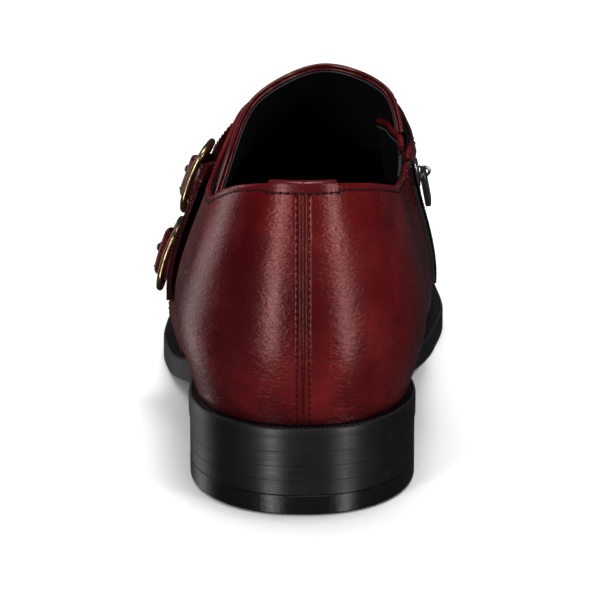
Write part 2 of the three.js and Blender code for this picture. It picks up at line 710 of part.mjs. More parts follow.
function straightWire(spot, points, radius) {
  const stops = points.map(([along, across, out]) => ({
    middle: fromSpot(spot, along, across, out), first: spot.along, second: spot.out,
  }));
  return ringSolid(wireRings(stops, radius, WIRE_SIDES));
}

// Bar across the middle of the frame, let into its two long ends.
function buckleBar(spot) {
  const reach = BUCKLE.tall / 2 - BUCKLE.wire;
  return straightWire(spot, [[0, reach, -BUCKLE.bow], [0, 0, 0], [0, -reach, -BUCKLE.bow]], BUCKLE.bar);
}

// Prong from above the bar, through the strap, to rest on the front of the frame.
function prong(spot, clearance) {
  const stops = PRONG.map(({ along, out }, i) => {
    const before = PRONG[Math.max(i - 1, 0)];
    const after = PRONG[Math.min(i + 1, PRONG.length - 1)];
    const second = spot.along.clone().multiplyScalar(before.out - after.out)
      .addScaledVector(spot.out, after.along - before.along)
      .normalize();
    return { middle: fromSpot(spot, along, 0, out), first: spot.across, second };
  });
  return ringSolid(wireRings(stops, PRONG_WIRE + clearance, WIRE_SIDES));
}

// Directions at the slider: down the zip, across it and out of the shoe.
function zipSpot() {
  const { fromHeel, over } = ZIP_AT;
  const [, above, below] = ZIP_LINE.map((row) => formPoint(row.fromHeel, row.over, 0));
  const out = formNormal(fromHeel, over, 0);
  const along = below.sub(above).projectOnPlane(out).normalize();
  const across = out.clone().cross(along).normalize();
  return { middle: formPoint(fromHeel, over, 0), along, across, out };
}

// Flat plate with its face outwards, placed by the directions of a spot.
function plate(spot, shape, from, thick) {
  const geometry = new THREE.ExtrudeGeometry(shape, {
    depth: thick, bevelEnabled: false, curveSegments: 6,
  });
  const basis = new THREE.Matrix4().makeBasis(spot.across, spot.along.clone().negate(), spot.out);
  geometry.applyMatrix4(basis);
  const corner = fromSpot(spot, 0, 0, from);
  geometry.translate(corner.x, corner.y - ORIGIN_FROM_HEEL, corner.z);
  geometry.deleteAttribute('normal');
  geometry.deleteAttribute('uv');
  return mergeVertices(geometry, 1e-4);
}

function roundedShape(wide, top, bottom, corner) {
  const half = wide / 2;
  const shape = new THREE.Shape();
  shape.moveTo(-half + corner, bottom);
  shape.lineTo(half - corner, bottom);
  shape.quadraticCurveTo(half, bottom, half, bottom + corner);
  shape.lineTo(half, top - corner);
  shape.quadraticCurveTo(half, top, half - corner, top);
  shape.lineTo(-half + corner, top);
  shape.quadraticCurveTo(-half, top, -half, top - corner);
  shape.lineTo(-half, bottom + corner);
  shape.quadraticCurveTo(-half, bottom, -half + corner, bottom);
  return shape;
}

// Slider: a rounded plate with a wire bridge that the pull hangs from.
function zipSlider() {
  const spot = zipSpot();
  const { long, wide, thick, from, corner } = ZIP_SLIDER;
  const body = plate(spot, roundedShape(wide, long / 2, -long / 2, corner), from, thick);
  const steps = 8;
  const stops = Array.from({ length: steps + 1 }, (_, i) => {
    const turn = (i / steps) * Math.PI;
    const first = spot.along.clone().multiplyScalar(Math.cos(turn))
      .addScaledVector(spot.out, Math.sin(turn));
    return {
      middle: fromSpot(spot, Math.cos(turn) * ZIP_BRIDGE.reach, 0,
        from + thick - ZIP_BRIDGE.sunk + Math.sin(turn) * ZIP_BRIDGE.rise),
      first,
      second: spot.across,
    };
  });
  const bridge = ringSolid(wireRings(stops, ZIP_BRIDGE.wire, WIRE_SIDES));
  return fromSolid(toSolid(body).add(toSolid(bridge)));
}

// Pull: a tab with an eye round the bridge, hanging straight down.
function zipPull() {
  const spot = zipSpot();
  const { long, wide, thick, from, top, eye, eyeDown, corner } = ZIP_PULL;
  const { pivot } = ZIP_BRIDGE;
  const shape = roundedShape(wide, top - pivot, top - pivot - long, corner);
  const hole = new THREE.Path();
  hole.absarc(0, -pivot - eyeDown, eye, 0, 2 * Math.PI, true);
  shape.holes.push(hole);
  return plate(spot, shape, from, thick);
}

const shoe = new THREE.Group();
shoe.name = 'double_monk_shoe';
function add(name, geometry, look) {
  geometry.computeVertexNormals();
  const mesh = new THREE.Mesh(geometry, new THREE.MeshStandardMaterial(look));
  mesh.name = name;
  shoe.add(mesh);
}

// Sole: outsole, welt, stacked heel and its top piece.
const none = () => 0;
add('outsole', soleplate({
  insetLow: none, insetHigh: none, low: soleRise, high: outsoleTop, steps: 44,
}), BLACK_SOLE);
add('welt', weltRing({
  outer: none, inner: (y) => weltStep(y) + UPPER_WALL + GAP, low: (y) => outsoleTop(y) + GAP,
  high: weltTop, steps: 40,
}), BLACK_SOLE);
const heelInset = () => HEEL_INSET;
const level = (z) => () => z;
const lifts = [];
const liftRoom = soleRise(HEEL_BREAST) - THINNEST_LIFT;
for (let low = TOPLIFT_THICK + GAP; low < liftRoom; low += LIFT_THICK + GAP) lifts.push(low);
add('heel_toplift', soleplate({
  insetLow: heelInset, insetHigh: heelInset, low: level(0),
  high: level(TOPLIFT_THICK), steps: 44, until: HEEL_BREAST,
}), BLACK_RUBBER);
lifts.forEach((low, i) => {
  const last = i === lifts.length - 1;
  const high = last ? (y) => soleRise(y) - GAP : level(low + LIFT_THICK);
  add(`heel_lift_${i + 1}`, soleplate({
    insetLow: heelInset, insetHigh: heelInset, low: level(low),
    high, steps: 44, until: HEEL_BREAST,
  }), BLACK_SOLE);
});
const insoleInset = (y) => weltStep(y) + UPPER_WALL + 2 * GAP;
add('insole', soleplate({
  insetLow: insoleInset, insetHigh: insoleInset, low: (y) => outsoleTop(y) + GAP,
  high: (y) => outsoleTop(y) + GAP + INSOLE_THICK, steps: 36,
}), TAN_INSOLE);

// Upper and tongue.
const ZIP_ROWS = { rows: 14, places: 2 };
const zipSlot = strapSheet(
  [...ZIP_LINE, ZIP_END].map((row) => ({ ...row, lift: ZIP_SLOT.from })),
  { wide: ZIP_SLOT.wide, thick: ZIP_SLOT.thick, ...ZIP_ROWS },
);
const shell = toSolid(upperShell(36, 16))
  .subtract(toSolid(throatCutter()))
  .subtract(toSolid(zipSlot));
add('upper', fromSolid(shell), OXBLOOD);
add('tongue', tongueSheet(), OXBLOOD);
add('throat_gusset', gussetSheet(), OXBLOOD);

// Straps, each with the hole that its buckle's prong goes through.
const STRAP = { wide: STRAP_WIDE, thick: STRAP_THICK, tip: 0.95 };
const upperStrap = toSolid(strapSheet(UPPER_STRAP, STRAP));
const lowerStrap = toSolid(strapSheet(LOWER_STRAP, STRAP));
const [upperBuckle, lowerBuckle] = BUCKLES.map(buckleSpot);
add('strap_upper', fromSolid(upperStrap.subtract(toSolid(prong(upperBuckle, GAP)))), OXBLOOD_STRAP);
add('strap_lower', fromSolid(lowerStrap.subtract(toSolid(prong(lowerBuckle, GAP)))), OXBLOOD_STRAP);
add('buckle_flap', flapSheet(), OXBLOOD_STRAP);
BUCKLES.forEach((row, i) => {
  const spot = [upperBuckle, lowerBuckle][i];
  const solid = toSolid(buckleFrame(spot)).add(toSolid(buckleBar(spot)));
  add(`${row.name}_frame`, fromSolid(solid), ANTIQUE_BRASS);
  add(`${row.name}_prong`, prong(spot, 0), ANTIQUE_BRASS);
});

// Zip.
const zipStrip = ({ wide, thick, from }) => strapSheet(
  ZIP_LINE.slice(1).map((row) => ({ ...row, lift: from })), { wide, thick, ...ZIP_ROWS },
);
add('zip_tape', zipStrip(ZIP_TAPE), BLACK_TAPE);
add('zip_teeth', zipStrip(ZIP_TEETH), DARK_STEEL);
add('zip_slider', zipSlider(), DARK_STEEL);
add('zip_pull', zipPull(), BLACK_SOLE);

export default shoe;
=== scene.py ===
import math

import bmesh
import bpy
import numpy as np
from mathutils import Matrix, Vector


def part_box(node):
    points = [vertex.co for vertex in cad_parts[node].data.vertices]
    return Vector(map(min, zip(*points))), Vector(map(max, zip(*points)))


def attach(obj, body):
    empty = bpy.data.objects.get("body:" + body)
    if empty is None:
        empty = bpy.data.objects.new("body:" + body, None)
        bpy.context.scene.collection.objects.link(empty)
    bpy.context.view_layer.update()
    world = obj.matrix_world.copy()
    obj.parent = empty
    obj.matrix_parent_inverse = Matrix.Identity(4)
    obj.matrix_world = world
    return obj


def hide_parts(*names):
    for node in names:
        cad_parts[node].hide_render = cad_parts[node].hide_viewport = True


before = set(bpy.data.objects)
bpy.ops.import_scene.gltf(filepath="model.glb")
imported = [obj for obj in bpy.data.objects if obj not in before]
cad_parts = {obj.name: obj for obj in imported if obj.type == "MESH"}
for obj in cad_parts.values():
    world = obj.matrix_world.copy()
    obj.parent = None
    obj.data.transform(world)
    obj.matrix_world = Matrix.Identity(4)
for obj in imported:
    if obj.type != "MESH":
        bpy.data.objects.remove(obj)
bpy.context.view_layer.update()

# ------------------------------------------------------------------ outsole
# The outsole is one layer of black leather cut to the outline of the last, with its edge
# waxed and burnished and its underside lightly sanded. It is stitched to the welt above it.
MM = 0.001
HEEL_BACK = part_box("outsole")[0][1]
SHOE_LENGTH = (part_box("outsole")[1][1] - HEEL_BACK) / MM
OUTER, INNER = -1.0, 1.0
HEEL_ROUND_FROM, TOE_ROUND_FROM = 45.0, 245.0
HEEL_SQUARENESS, TOE_SQUARENESS = 2.25, 2.1
HEEL_SHARE, TOE_SHARE = 0.24, 0.24
OUTSOLE_THICK = 4.5
JOINT = 0.3
SOLE_EDGE = {
    "from_heel": (0, 45, 75, 100, 125, 150, 182, 215, 245, 306),
    "outer": (35.4, 35.8, 35.6, 37.8, 42, 46.8, 50.4, 49.4, 44.6, 37),
    "inner": (35.4, 35.6, 33, 31, 33.2, 39, 47.4, 51.4, 47.4, 38),
    "middle": (0, 0, 0, 0, 0, 0, 0.2, 1, 3, 8),
}
SOLE_RISE = {
    "from_heel": (0, 40, 70, 90, 110, 130, 150, 168, 208, 230, 260, 285, 306),
    "rise": (19.9, 19.6, 18.4, 14.8, 9.6, 4.6, 1.2, 0, 0, 1, 4.4, 8.6, 12.5),
}


def column(table, key, along="from_heel"):
    """A smooth curve through one column of a table, flat between equal values."""
    at = np.array(table[along], float)
    value = np.array(table[key], float)
    secant = np.diff(value) / np.diff(at)
    same_way = secant[:-1] * secant[1:] > 0
    total = np.where(same_way, secant[:-1] + secant[1:], 1.0)
    slope = np.empty_like(value)
    slope[0], slope[-1] = secant[0], secant[-1]
    slope[1:-1] = np.where(same_way, 2 * secant[:-1] * secant[1:] / total, 0.0)

    def read(x):
        x = np.clip(x, at[0], at[-1])
        i = np.clip(np.searchsorted(at, x, side="right") - 1, 0, len(at) - 2)
        span = at[i + 1] - at[i]
        s = (x - at[i]) / span
        bend = (3 * secant[i] - 2 * slope[i] - slope[i + 1]) * span
        twist = (slope[i] + slope[i + 1] - 2 * secant[i]) * span
        return value[i] + s * (slope[i] * span + s * (bend + s * twist))

    return read


sole_outer = column(SOLE_EDGE, "outer")
sole_inner = column(SOLE_EDGE, "inner")
sole_middle = column(SOLE_EDGE, "middle")
sole_rise = column(SOLE_RISE, "rise")


def outsole_top(y):
    return sole_rise(y) + OUTSOLE_THICK


def station(around, back, toe):
    """Distance from the heel and share of the half-width, going round from heel to toe."""
    heel = around < HEEL_SHARE
    tip = around > 1 - TOE_SHARE
    turn = np.where(heel, around / HEEL_SHARE, np.where(tip, (1 - around) / TOE_SHARE, 1.0))
    turn = np.clip(turn, 0, 1) * math.pi / 2
    share = (around - HEEL_SHARE) / (1 - HEEL_SHARE - TOE_SHARE)
    y = HEEL_ROUND_FROM + (TOE_ROUND_FROM - HEEL_ROUND_FROM) * share
    y = np.where(heel, back + (HEEL_ROUND_FROM - back) * (1 - np.cos(turn)), y)
    y = np.where(tip, TOE_ROUND_FROM + (toe - TOE_ROUND_FROM) * np.cos(turn), y)
    power = np.where(heel, 2 / HEEL_SQUARENESS, 2 / TOE_SQUARENESS)
    return y, np.where(heel | tip, np.sin(turn) ** power, 1.0)


def around_at(from_heel):
    share = (from_heel - HEEL_ROUND_FROM) / (TOE_ROUND_FROM - HEEL_ROUND_FROM)
    return HEEL_SHARE + share * (1 - HEEL_SHARE - TOE_SHARE)


def sole_edge(around, side, inset):
    y, wide = station(around, inset, SHOE_LENGTH - inset)
    half = np.where(side < 0, sole_outer(y), sole_inner(y))
    return sole_middle(y) + side * (half - inset) * wide, y


def quads(rows, columns, wrap=False, start=0):
    """Faces of a grid of points that is numbered row by row."""
    here = np.arange(rows * columns).reshape(rows, columns) + start
    if wrap:
        here = np.concatenate([here, here[:, :1]], axis=1)
    corners = (here[:-1, :-1], here[:-1, 1:], here[1:, 1:], here[1:, :-1])
    return np.stack([c.ravel() for c in corners], axis=1).tolist()


def stand(name, data):
    """A new object in the scene for a mesh, a light or a camera."""
    made = bpy.data.objects.new(name, data)
    bpy.context.collection.objects.link(made)
    return made


def add_node(tree, kind, inputs=None, **settings):
    """A node with its settings, and its inputs linked where they are sockets."""
    made = tree.nodes.new(kind)
    for key, value in settings.items():
        setattr(made, key, value)
    for key, value in (inputs or {}).items():
        if isinstance(value, bpy.types.NodeSocket):
            tree.links.new(value, made.inputs[key])
        else:
            made.inputs[key].default_value = value
    return made


def leather_piece(name, points, faces, finish, sharp=40, marks=None):
    """A mesh piece from points in millimetres, measured from the back of the heel."""
    mesh = bpy.data.meshes.new(name)
    placed = np.asarray(points, float) * MM + np.array([0, HEEL_BACK, 0])
    mesh.from_pydata(placed.tolist(), [], faces)
    for key, values in (marks or {}).items():
        layer = mesh.attributes.new(key, "FLOAT", "POINT")
        layer.data.foreach_set("value", np.asarray(values, np.float32).ravel())
    bm = bmesh.new()
    bm.from_mesh(mesh)
    bmesh.ops.remove_doubles(bm, verts=bm.verts, dist=0.004 * MM)
    bmesh.ops.dissolve_degenerate(bm, edges=bm.edges, dist=0.001 * MM)
    bmesh.ops.delete(bm, geom=[v for v in bm.verts if not v.link_faces], context="VERTS")
    bmesh.ops.recalc_face_normals(bm, faces=bm.faces)
    bm.to_mesh(mesh)
    bm.free()
    mesh.shade_smooth()
    mesh.set_sharp_from_angle(angle=math.radians(sharp))
    mesh.materials.append(finish)
    return stand(name, mesh)


def sheet_faces(rows, count):
    """Faces of rings set one after another; each ring folds back on itself to close the ends."""
    faces = quads(rows, count, wrap=True)
    for base in (0, (rows - 1) * count):
        faces += [[base + i, base + i + 1, base + count - 2 - i, base + count - 1 - i]
                  for i in range(count // 2 - 1)]
    return faces


def edge_layers(name, layers, finish, steps=220, until=1.0, base=None, sharp=20):
    """A solid whose outline follows the sole: layers of (inset, height) from bottom to top."""
    way = np.linspace(0, until, steps + 1)
    around = np.concatenate([way, way[::-1]])
    side = np.repeat([OUTER, INNER], steps + 1)
    drawn_in = base(station(around, 0, SHOE_LENGTH)[0]) if base else 0.0
    rows = []
    for inset, height in layers:
        x, y = sole_edge(around, side, drawn_in + inset)
        rows.append(np.stack([x, y, height(y)], axis=1))
    points = np.array(rows).reshape(-1, 3)
    return leather_piece(name, points, sheet_faces(len(layers), len(around)), finish, sharp)


class Wire:
    """A number that a node gives out. The usual signs join it to others by Math nodes."""

    def __init__(self, finish, socket):
        self.finish = finish
        self.socket = socket

    def math(self, operation, other=0.0, swap=False, clamp=False):
        pair = (other, self) if swap else (self, other)
        node = self.finish.node("ShaderNodeMath", dict(enumerate(pair)),
                                operation=operation, use_clamp=clamp)
        return self.finish.wire(node.outputs[0])

    def __add__(self, other):
        return self.math("ADD", other)

    def __mul__(self, other):
        return self.math("MULTIPLY", other)

    def __rsub__(self, other):
        return self.math("SUBTRACT", other, swap=True)

    def clamp(self):
        return self.math("ADD", 0.0, clamp=True)

    __radd__ = __add__
    __rmul__ = __mul__


class Finish:
    """One material, built node by node and closed by a Principled shader."""

    def __init__(self, name):
        self.material = bpy.data.materials.new(name)
        self.material.use_nodes = True
        self.tree = self.material.node_tree
        self.tree.nodes.clear()
        self.place = self.node("ShaderNodeTexCoord").outputs["Object"]

    def node(self, kind, inputs=None, **settings):
        inputs = {key: value.socket if isinstance(value, Wire) else value
                  for key, value in (inputs or {}).items()}
        return add_node(self.tree, kind, inputs, **settings)

    def wire(self, socket):
        return Wire(self, socket)

    def stretched(self, scale):
        return self.node("ShaderNodeMapping", {"Vector": self.place, "Scale": scale}).outputs[0]

    def noise(self, scale, detail=3.0, rough=0.5, distort=0.0, at=None):
        inputs = {"Vector": at or self.place, "Scale": scale, "Detail": detail,
                  "Roughness": rough, "Distortion": distort}
        return self.wire(self.node("ShaderNodeTexNoise", inputs).outputs["Fac"])

    def cells(self, scale, feature="F1", at=None):
        inputs = {"Vector": at or self.place, "Scale": scale}
        made = self.node("ShaderNodeTexVoronoi", inputs, feature=feature)
        return self.wire(made.outputs["Distance"])

    def mark(self, name):
        made = self.node("ShaderNodeAttribute", attribute_name=name)
        return self.wire(made.outputs["Fac"])

    def between(self, value, low, high):
        inputs = {"Value": value, "From Min": low, "From Max": high}
        made = self.node("ShaderNodeMapRange", inputs, interpolation_type="SMOOTHSTEP")
        return self.wire(made.outputs["Result"])

    def blend(self, share, first, second):
        made = self.node("ShaderNodeMix", {0: share, 6: first, 7: second}, data_type="RGBA")
        return made.outputs[2]

    def close(self, colour, rough, height=None, **fixed):
        inputs = {"Base Color": colour, "Roughness": rough}
        if height is not None:
            bump = {"Height": height, "Strength": 1.0, "Distance": MM}
            inputs["Normal"] = self.node("ShaderNodeBump", bump).outputs["Normal"]
        inputs.update({key.replace("_", " "): value for key, value in fixed.items()})
        shader = self.node("ShaderNodeBsdfPrincipled", inputs)
        self.node("ShaderNodeOutputMaterial", {"Surface": shader.outputs["BSDF"]})
        return self.material


def stirred_finish(name, grain, dark, light, rough, bump, **fixed):
    """One fine noise stirs the colour, the roughness (by, from) and the height."""
    finish = Finish(name)
    stir = finish.noise(*grain)
    return finish.close(finish.blend(stir, dark, light), stir * rough[0] + rough[1],
                        stir * bump, **fixed)


def black_wax_finish(name, rub):
    """Black wax ironed on to a leather edge: satin, streaked along the edge, lightly rubbed."""
    wax = Finish(name)
    streak = wax.noise(1.0, 4.0, 0.6, at=wax.stretched((35, 35, 900)))
    cloud = wax.noise(45.0, 3.0)
    scuff = wax.between(wax.noise(260.0, 5.0, 0.65, 0.6), 0.60, 0.78)
    shade = wax.blend(scuff * rub, (0.0026, 0.0026, 0.0030, 1), (0.016, 0.016, 0.018, 1))
    rough = wax.between(cloud, 0.3, 0.7) * 0.08 + streak * 0.14 + scuff * 0.16 + 0.32
    height = streak * 0.05 + wax.noise(700.0, 3.0) * 0.012
    return wax.close(shade, rough, height, Specular_IOR_Level=0.5)


wax_edge = black_wax_finish("black_wax_edge", 0.5)


def lifted(height, by):
    return lambda y: height(y) + by


outsole = edge_layers("outsole_leather", [
    (1.1, sole_rise), (0.12, lifted(sole_rise, 0.02)), (0.03, lifted(sole_rise, 0.06)),
    (0.0, lifted(sole_rise, 0.14)), (0.0, lifted(sole_rise, 2.2)),
    (0.0, lifted(outsole_top, 0.2)), (0.06, lifted(outsole_top, 0.24)),
], wax_edge)
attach(outsole, "shoe")
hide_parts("outsole")

# ------------------------------------------------------------------ stacked heel
# Three lifts of pressed leather board are glued and pinned, trimmed together and waxed
# black, so their joints show only as fine broken lines. A rubber top piece is nailed below.
TOPLIFT_THICK = 6.1
LIFT_THICK = 4.2
HEEL_BREAST = 74.0
HEEL_INSET = 0.3
breast = float(around_at(HEEL_BREAST))


def level(z):
    return lambda y: np.full_like(y, z)


def pressed_stack():
    layers = []
    low = TOPLIFT_THICK + 0.12
    joints = [TOPLIFT_THICK + JOINT + (LIFT_THICK + JOINT) * n - JOINT / 2 for n in (1, 2)]
    for z, inset in ((low, 0.16), (low + 0.05, 0.05), (low + 0.14, 0.0)):
        layers.append((HEEL_INSET + inset, level(z)))
    for joint in joints:
        for z, inset in ((-1.6, 0.0), (-0.12, 0.0), (-0.05, 0.11), (0.05, 0.11), (0.12, 0.0)):
            layers.append((HEEL_INSET + inset, level(joint + z)))
    layers.append((HEEL_INSET, lifted(sole_rise, -0.18)))
    layers.append((HEEL_INSET + 0.05, lifted(sole_rise, -0.09)))
    layers.append((HEEL_INSET + 0.2, lifted(sole_rise, -0.05)))
    return layers


heel_stack = edge_layers("heel_lifts", pressed_stack(), wax_edge, 150, breast)
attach(heel_stack, "shoe")
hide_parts("heel_lift_1", "heel_lift_2", "heel_lift_3")

rubber = Finish("toplift_rubber")
tread = rubber.cells(620.0)
rubber_dust = rubber.noise(120.0, 4.0, 0.6)
toplift_finish = rubber.close(
    rubber.blend(rubber_dust, (0.002, 0.002, 0.0024, 1), (0.005, 0.005, 0.0055, 1)),
    rubber_dust * 0.14 + 0.26,
    tread * 0.03 + rubber.noise(900.0, 2.0) * 0.02,
    Specular_IOR_Level=0.35)
toplift = edge_layers("heel_toplift_rubber", [
    (HEEL_INSET + 0.9, level(0.0)), (HEEL_INSET + 0.3, level(0.12)),
    (HEEL_INSET, level(0.5)), (HEEL_INSET - 0.05, level(3.0)),
    (HEEL_INSET - 0.05, level(TOPLIFT_THICK - 0.12)), (HEEL_INSET + 0.12, level(TOPLIFT_THICK)),
], toplift_finish, 150, breast)
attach(toplift, "shoe")
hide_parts("heel_toplift")

# ------------------------------------------------------------------ welt
# A strip of black leather runs all round between the upper and the outsole, with a
# rounded edge. A heated wheel has pressed a row of fine notches into its upper edge.
WELT_THICK = 2.7
UPPER_WALL = 2.0
WELT_STEP = {
    "from_heel": (0, 60, 110, 150, 190, 245, 306),
    "step": (2.8, 2.4, 2.2, 3.6, 4.4, 5, 5),
}
NOTCH = {"pitch": 1.15, "long": 0.62, "wide": 1.5, "tall": 0.42, "lift": 0.0}
welt_step = column(WELT_STEP, "step")


def welt_top(y):
    return outsole_top(y) + JOINT + WELT_THICK


def welt_path(steps):
    """Places round the welt, on both sides in turn, and the width of its step there."""
    way = np.linspace(0, 1, steps + 1)
    around = np.concatenate([way, way[::-1][1:]])
    side = np.concatenate([np.full(steps + 1, OUTER), np.full(steps, INNER)])
    return around, side, welt_step(station(around, 0, SHOE_LENGTH)[0])


def welt_strip():
    around, side, step = welt_path(240)
    inside = step + UPPER_WALL + JOINT
    rows = []
    for share, drop in (
        (0.0, -2.72), (0.02, -2.76), (1.0, -2.7), (1.0, -0.2), (0.62, 0.0), (0.3, 0.0),
        (0.12, -0.08), (0.05, -0.22), (0.01, -0.5), (0.0, -0.9), (0.0, -1.9),
    ):
        x, y = sole_edge(around, side, inside * share)
        rows.append(np.stack([x, y, welt_top(y) + drop], axis=1))
    rows.append(rows[0])
    points = np.array(rows)
    faces = quads(points.shape[0], points.shape[1])
    return leather_piece("welt_strip", points.reshape(-1, 3), faces, wax_edge, 20)


def row_tree(name, item):
    """Items set one after another along paths; each path point carries its outward direction."""
    tree = bpy.data.node_groups.new(name, "GeometryNodeTree")
    doors = tree.interface
    doors.new_socket("Geometry", in_out="INPUT", socket_type="NodeSocketGeometry")
    for size in ("Pitch", "Long", "Wide", "Tall", "Lift"):
        doors.new_socket(size, in_out="INPUT", socket_type="NodeSocketFloat")
    doors.new_socket("Finish", in_out="INPUT", socket_type="NodeSocketMaterial")
    doors.new_socket("Geometry", in_out="OUTPUT", socket_type="NodeSocketGeometry")

    def add(kind, inputs=None, take=0, **settings):
        return add_node(tree, kind, inputs, **settings).outputs[take]

    given = add_node(tree, "NodeGroupInput").outputs
    line = add("GeometryNodeMeshToCurve", {"Mesh": given["Geometry"]})
    spaced = add("GeometryNodeResampleCurve", {"Curve": line, "Length": given["Pitch"]},
                 mode="LENGTH")
    out = add("GeometryNodeInputNamedAttribute", {"Name": "out"}, "Attribute",
              data_type="FLOAT_VECTOR")
    raised = add("ShaderNodeVectorMath", {0: out, "Scale": given["Lift"]}, operation="SCALE")
    moved = add("GeometryNodeSetPosition", {"Geometry": spaced, "Offset": raised})
    size = add("ShaderNodeCombineXYZ",
               {"X": given["Long"], "Y": given["Wide"], "Z": given["Tall"]})
    if item == "bead":
        body = add("GeometryNodeMeshUVSphere", {"Segments": 8, "Rings": 4, "Radius": 0.5}, "Mesh")
    else:
        body = add("GeometryNodeMeshCube", {"Size": (1.0, 1.0, 1.0)}, "Mesh")
    scaled = add("GeometryNodeTransform", {"Geometry": body, "Scale": size})
    upright = add("FunctionNodeAlignRotationToVector", {"Vector": out}, axis="Z")
    tangent = add("GeometryNodeInputTangent")
    turned = add("FunctionNodeAlignRotationToVector", {"Rotation": upright, "Vector": tangent},
                 axis="X", pivot_axis="Z")
    placed = add("GeometryNodeInstanceOnPoints",
                 {"Points": moved, "Instance": scaled, "Rotation": turned})
    solid = add("GeometryNodeRealizeInstances", {"Geometry": placed})
    dressed = add("GeometryNodeSetMaterial", {"Geometry": solid, "Material": given["Finish"]})
    smooth = add("GeometryNodeSetShadeSmooth",
                 {"Geometry": dressed, "Shade Smooth": item == "bead"})
    add_node(tree, "NodeGroupOutput", {"Geometry": smooth})
    return tree


bead_row = row_tree("bead_row", "bead")


def work_in(piece, modifier):
    """Works a modifier into the mesh of its piece."""
    solid = bpy.data.meshes.new_from_object(
        piece.evaluated_get(bpy.context.evaluated_depsgraph_get()))
    piece.modifiers.remove(modifier)
    piece.data = solid


def run_rows(name, tree, paths, sizes, finish):
    """Paths of (points, outward directions) in millimetres, turned into rows of items."""
    mesh = bpy.data.meshes.new(name)
    points = np.concatenate([p for p, _ in paths]) * MM + np.array([0, HEEL_BACK, 0])
    outs = np.concatenate([o for _, o in paths])
    edges, start = [], 0
    for path, _ in paths:
        edges += [(i, i + 1) for i in range(start, start + len(path) - 1)]
        start += len(path)
    mesh.from_pydata(points.tolist(), edges, [])
    layer = mesh.attributes.new("out", "FLOAT_VECTOR", "POINT")
    layer.data.foreach_set("vector", outs.astype(np.float32).ravel())
    piece = stand(name, mesh)
    rows = piece.modifiers.new("rows", "NODES")
    rows.node_group = tree
    doors = {d.name: d.identifier for d in tree.interface.items_tree if d.in_out == "INPUT"}
    for key, value in sizes.items():
        rows[doors[key.capitalize()]] = value * MM
    rows[doors["Finish"]] = finish
    work_in(piece, rows)
    return piece


welt = welt_strip()
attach(welt, "shoe")
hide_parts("welt")

notch_around, notch_side, _ = welt_path(320)
notch_x, notch_y = sole_edge(notch_around, notch_side, 0.62)
notch_points = np.stack([notch_x, notch_y, welt_top(notch_y) - 0.1], axis=1)
inner_x, inner_y = sole_edge(notch_around, notch_side, 2.0)
notch_out = np.stack([notch_x - inner_x, notch_y - inner_y, np.full_like(notch_x, 1.6)], 1)
notch_out /= np.linalg.norm(notch_out, axis=1)[:, None]
notches = run_rows("welt_wheeling", bead_row, [(notch_points, notch_out)], NOTCH, wax_edge)
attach(notches, "shoe")

# ------------------------------------------------------------------ insole
# A cork and leather insole board lies inside the welt, covered by a thin black leather sock
# that is glued down and shows a fine grain.
INSOLE_THICK = 5.5
sock_leather = Finish("sock_black_leather")
sock_grain = sock_leather.cells(1500.0)
sock_wear = sock_leather.noise(28.0, 4.0, 0.6)
sock_finish = sock_leather.close(
    sock_leather.blend(sock_wear, (0.0075, 0.0072, 0.0075, 1), (0.017, 0.016, 0.0165, 1)),
    sock_wear * 0.14 + 0.48,
    sock_grain * 0.03 + sock_leather.noise(160.0, 4.0) * 0.12)


def insole_inset(y):
    return welt_step(y) + UPPER_WALL + 2 * JOINT + 0.1


insole = edge_layers("insole_sock", [
    (more, lifted(outsole_top, JOINT + INSOLE_THICK - drop)) for more, drop in (
        (0.3, 5.4), (0.0, 5.1), (0.0, 0.6), (0.2, 0.2), (0.7, 0.0), (6.0, 0.25))
], sock_finish, 200, base=insole_inset, sharp=60)
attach(insole, "shoe")
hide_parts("insole")

# ------------------------------------------------------------------ upper
# Quarters and vamp of oxblood calf, lasted over the form and closed at the heel by a seam
# with two turned edges. The top edge is turned in and stitched; the inside is lined in black.
FORM = {
    "from_heel": (0, 45, 75, 100, 112, 125, 150, 182, 215, 245, 306),
    "swell_outer": (36.6, 39, 41.2, 41.4, 42, 43.6, 46.4, 48, 46, 40.6, 33.5),
    "swell_inner": (36.6, 38.8, 41.2, 42.2, 42.6, 43.2, 45, 46.6, 48, 43.2, 34.5),
    "swell_up": (24, 22, 22, 22, 21.5, 20.5, 17.5, 14.5, 12.5, 10.5, 6),
    "shoulder_outer": (29, 28.8, 30.6, 28.5, 28, 29, 32, 36.5, 37, 33, 28),
    "shoulder_inner": (29, 31, 35.4, 37.6, 36.6, 35, 34, 37, 38.5, 35, 29),
    "shoulder_up": (62, 59, 59, 64, 64, 61, 54, 43, 31.5, 24, 10.5),
    "crown_across": (0, 0.5, 4, 7, 7.6, 8, 7.5, 5.5, 4.5, 5, 8),
    "crown_up": (88, 90, 96, 103.4, 103.4, 97, 84, 68, 51.5, 36.5, 10),
    "brow_outer": (0.72, 0.69, 0.69, 0.69, 0.69, 0.69, 0.69, 0.69, 0.69, 0.69, 0.55),
    "brow_inner": (0.72, 0.755, 0.755, 0.755, 0.755, 0.755, 0.755, 0.755, 0.755, 0.755, 0.55),
}
LEVEL_ENDS = {"swell": (-2.4, 4.4), "shoulder": (1.8, 9), "crown": (30, 32)}
TOPLINE = {
    "from_heel": (-20, 5, 14, 28, 44, 58, 68, 80, 94, 108, 120, 131),
    "outer": (101, 100.8, 98.8, 94, 88.4, 85.4, 84.8, 86.2, 91, 98, 105, 118),
    "inner": (101, 100.8, 99.2, 95.6, 91.8, 91, 92.4, 94.4, 96.4, 99.5, 105, 118),
}
THROAT_END = 131.0
of_form = {key: column(FORM, key) for key in FORM if key != "from_heel"}
topline_outer = column(TOPLINE, "outer")
topline_inner = column(TOPLINE, "inner")


def foot_line(y):
    return welt_top(y) + JOINT


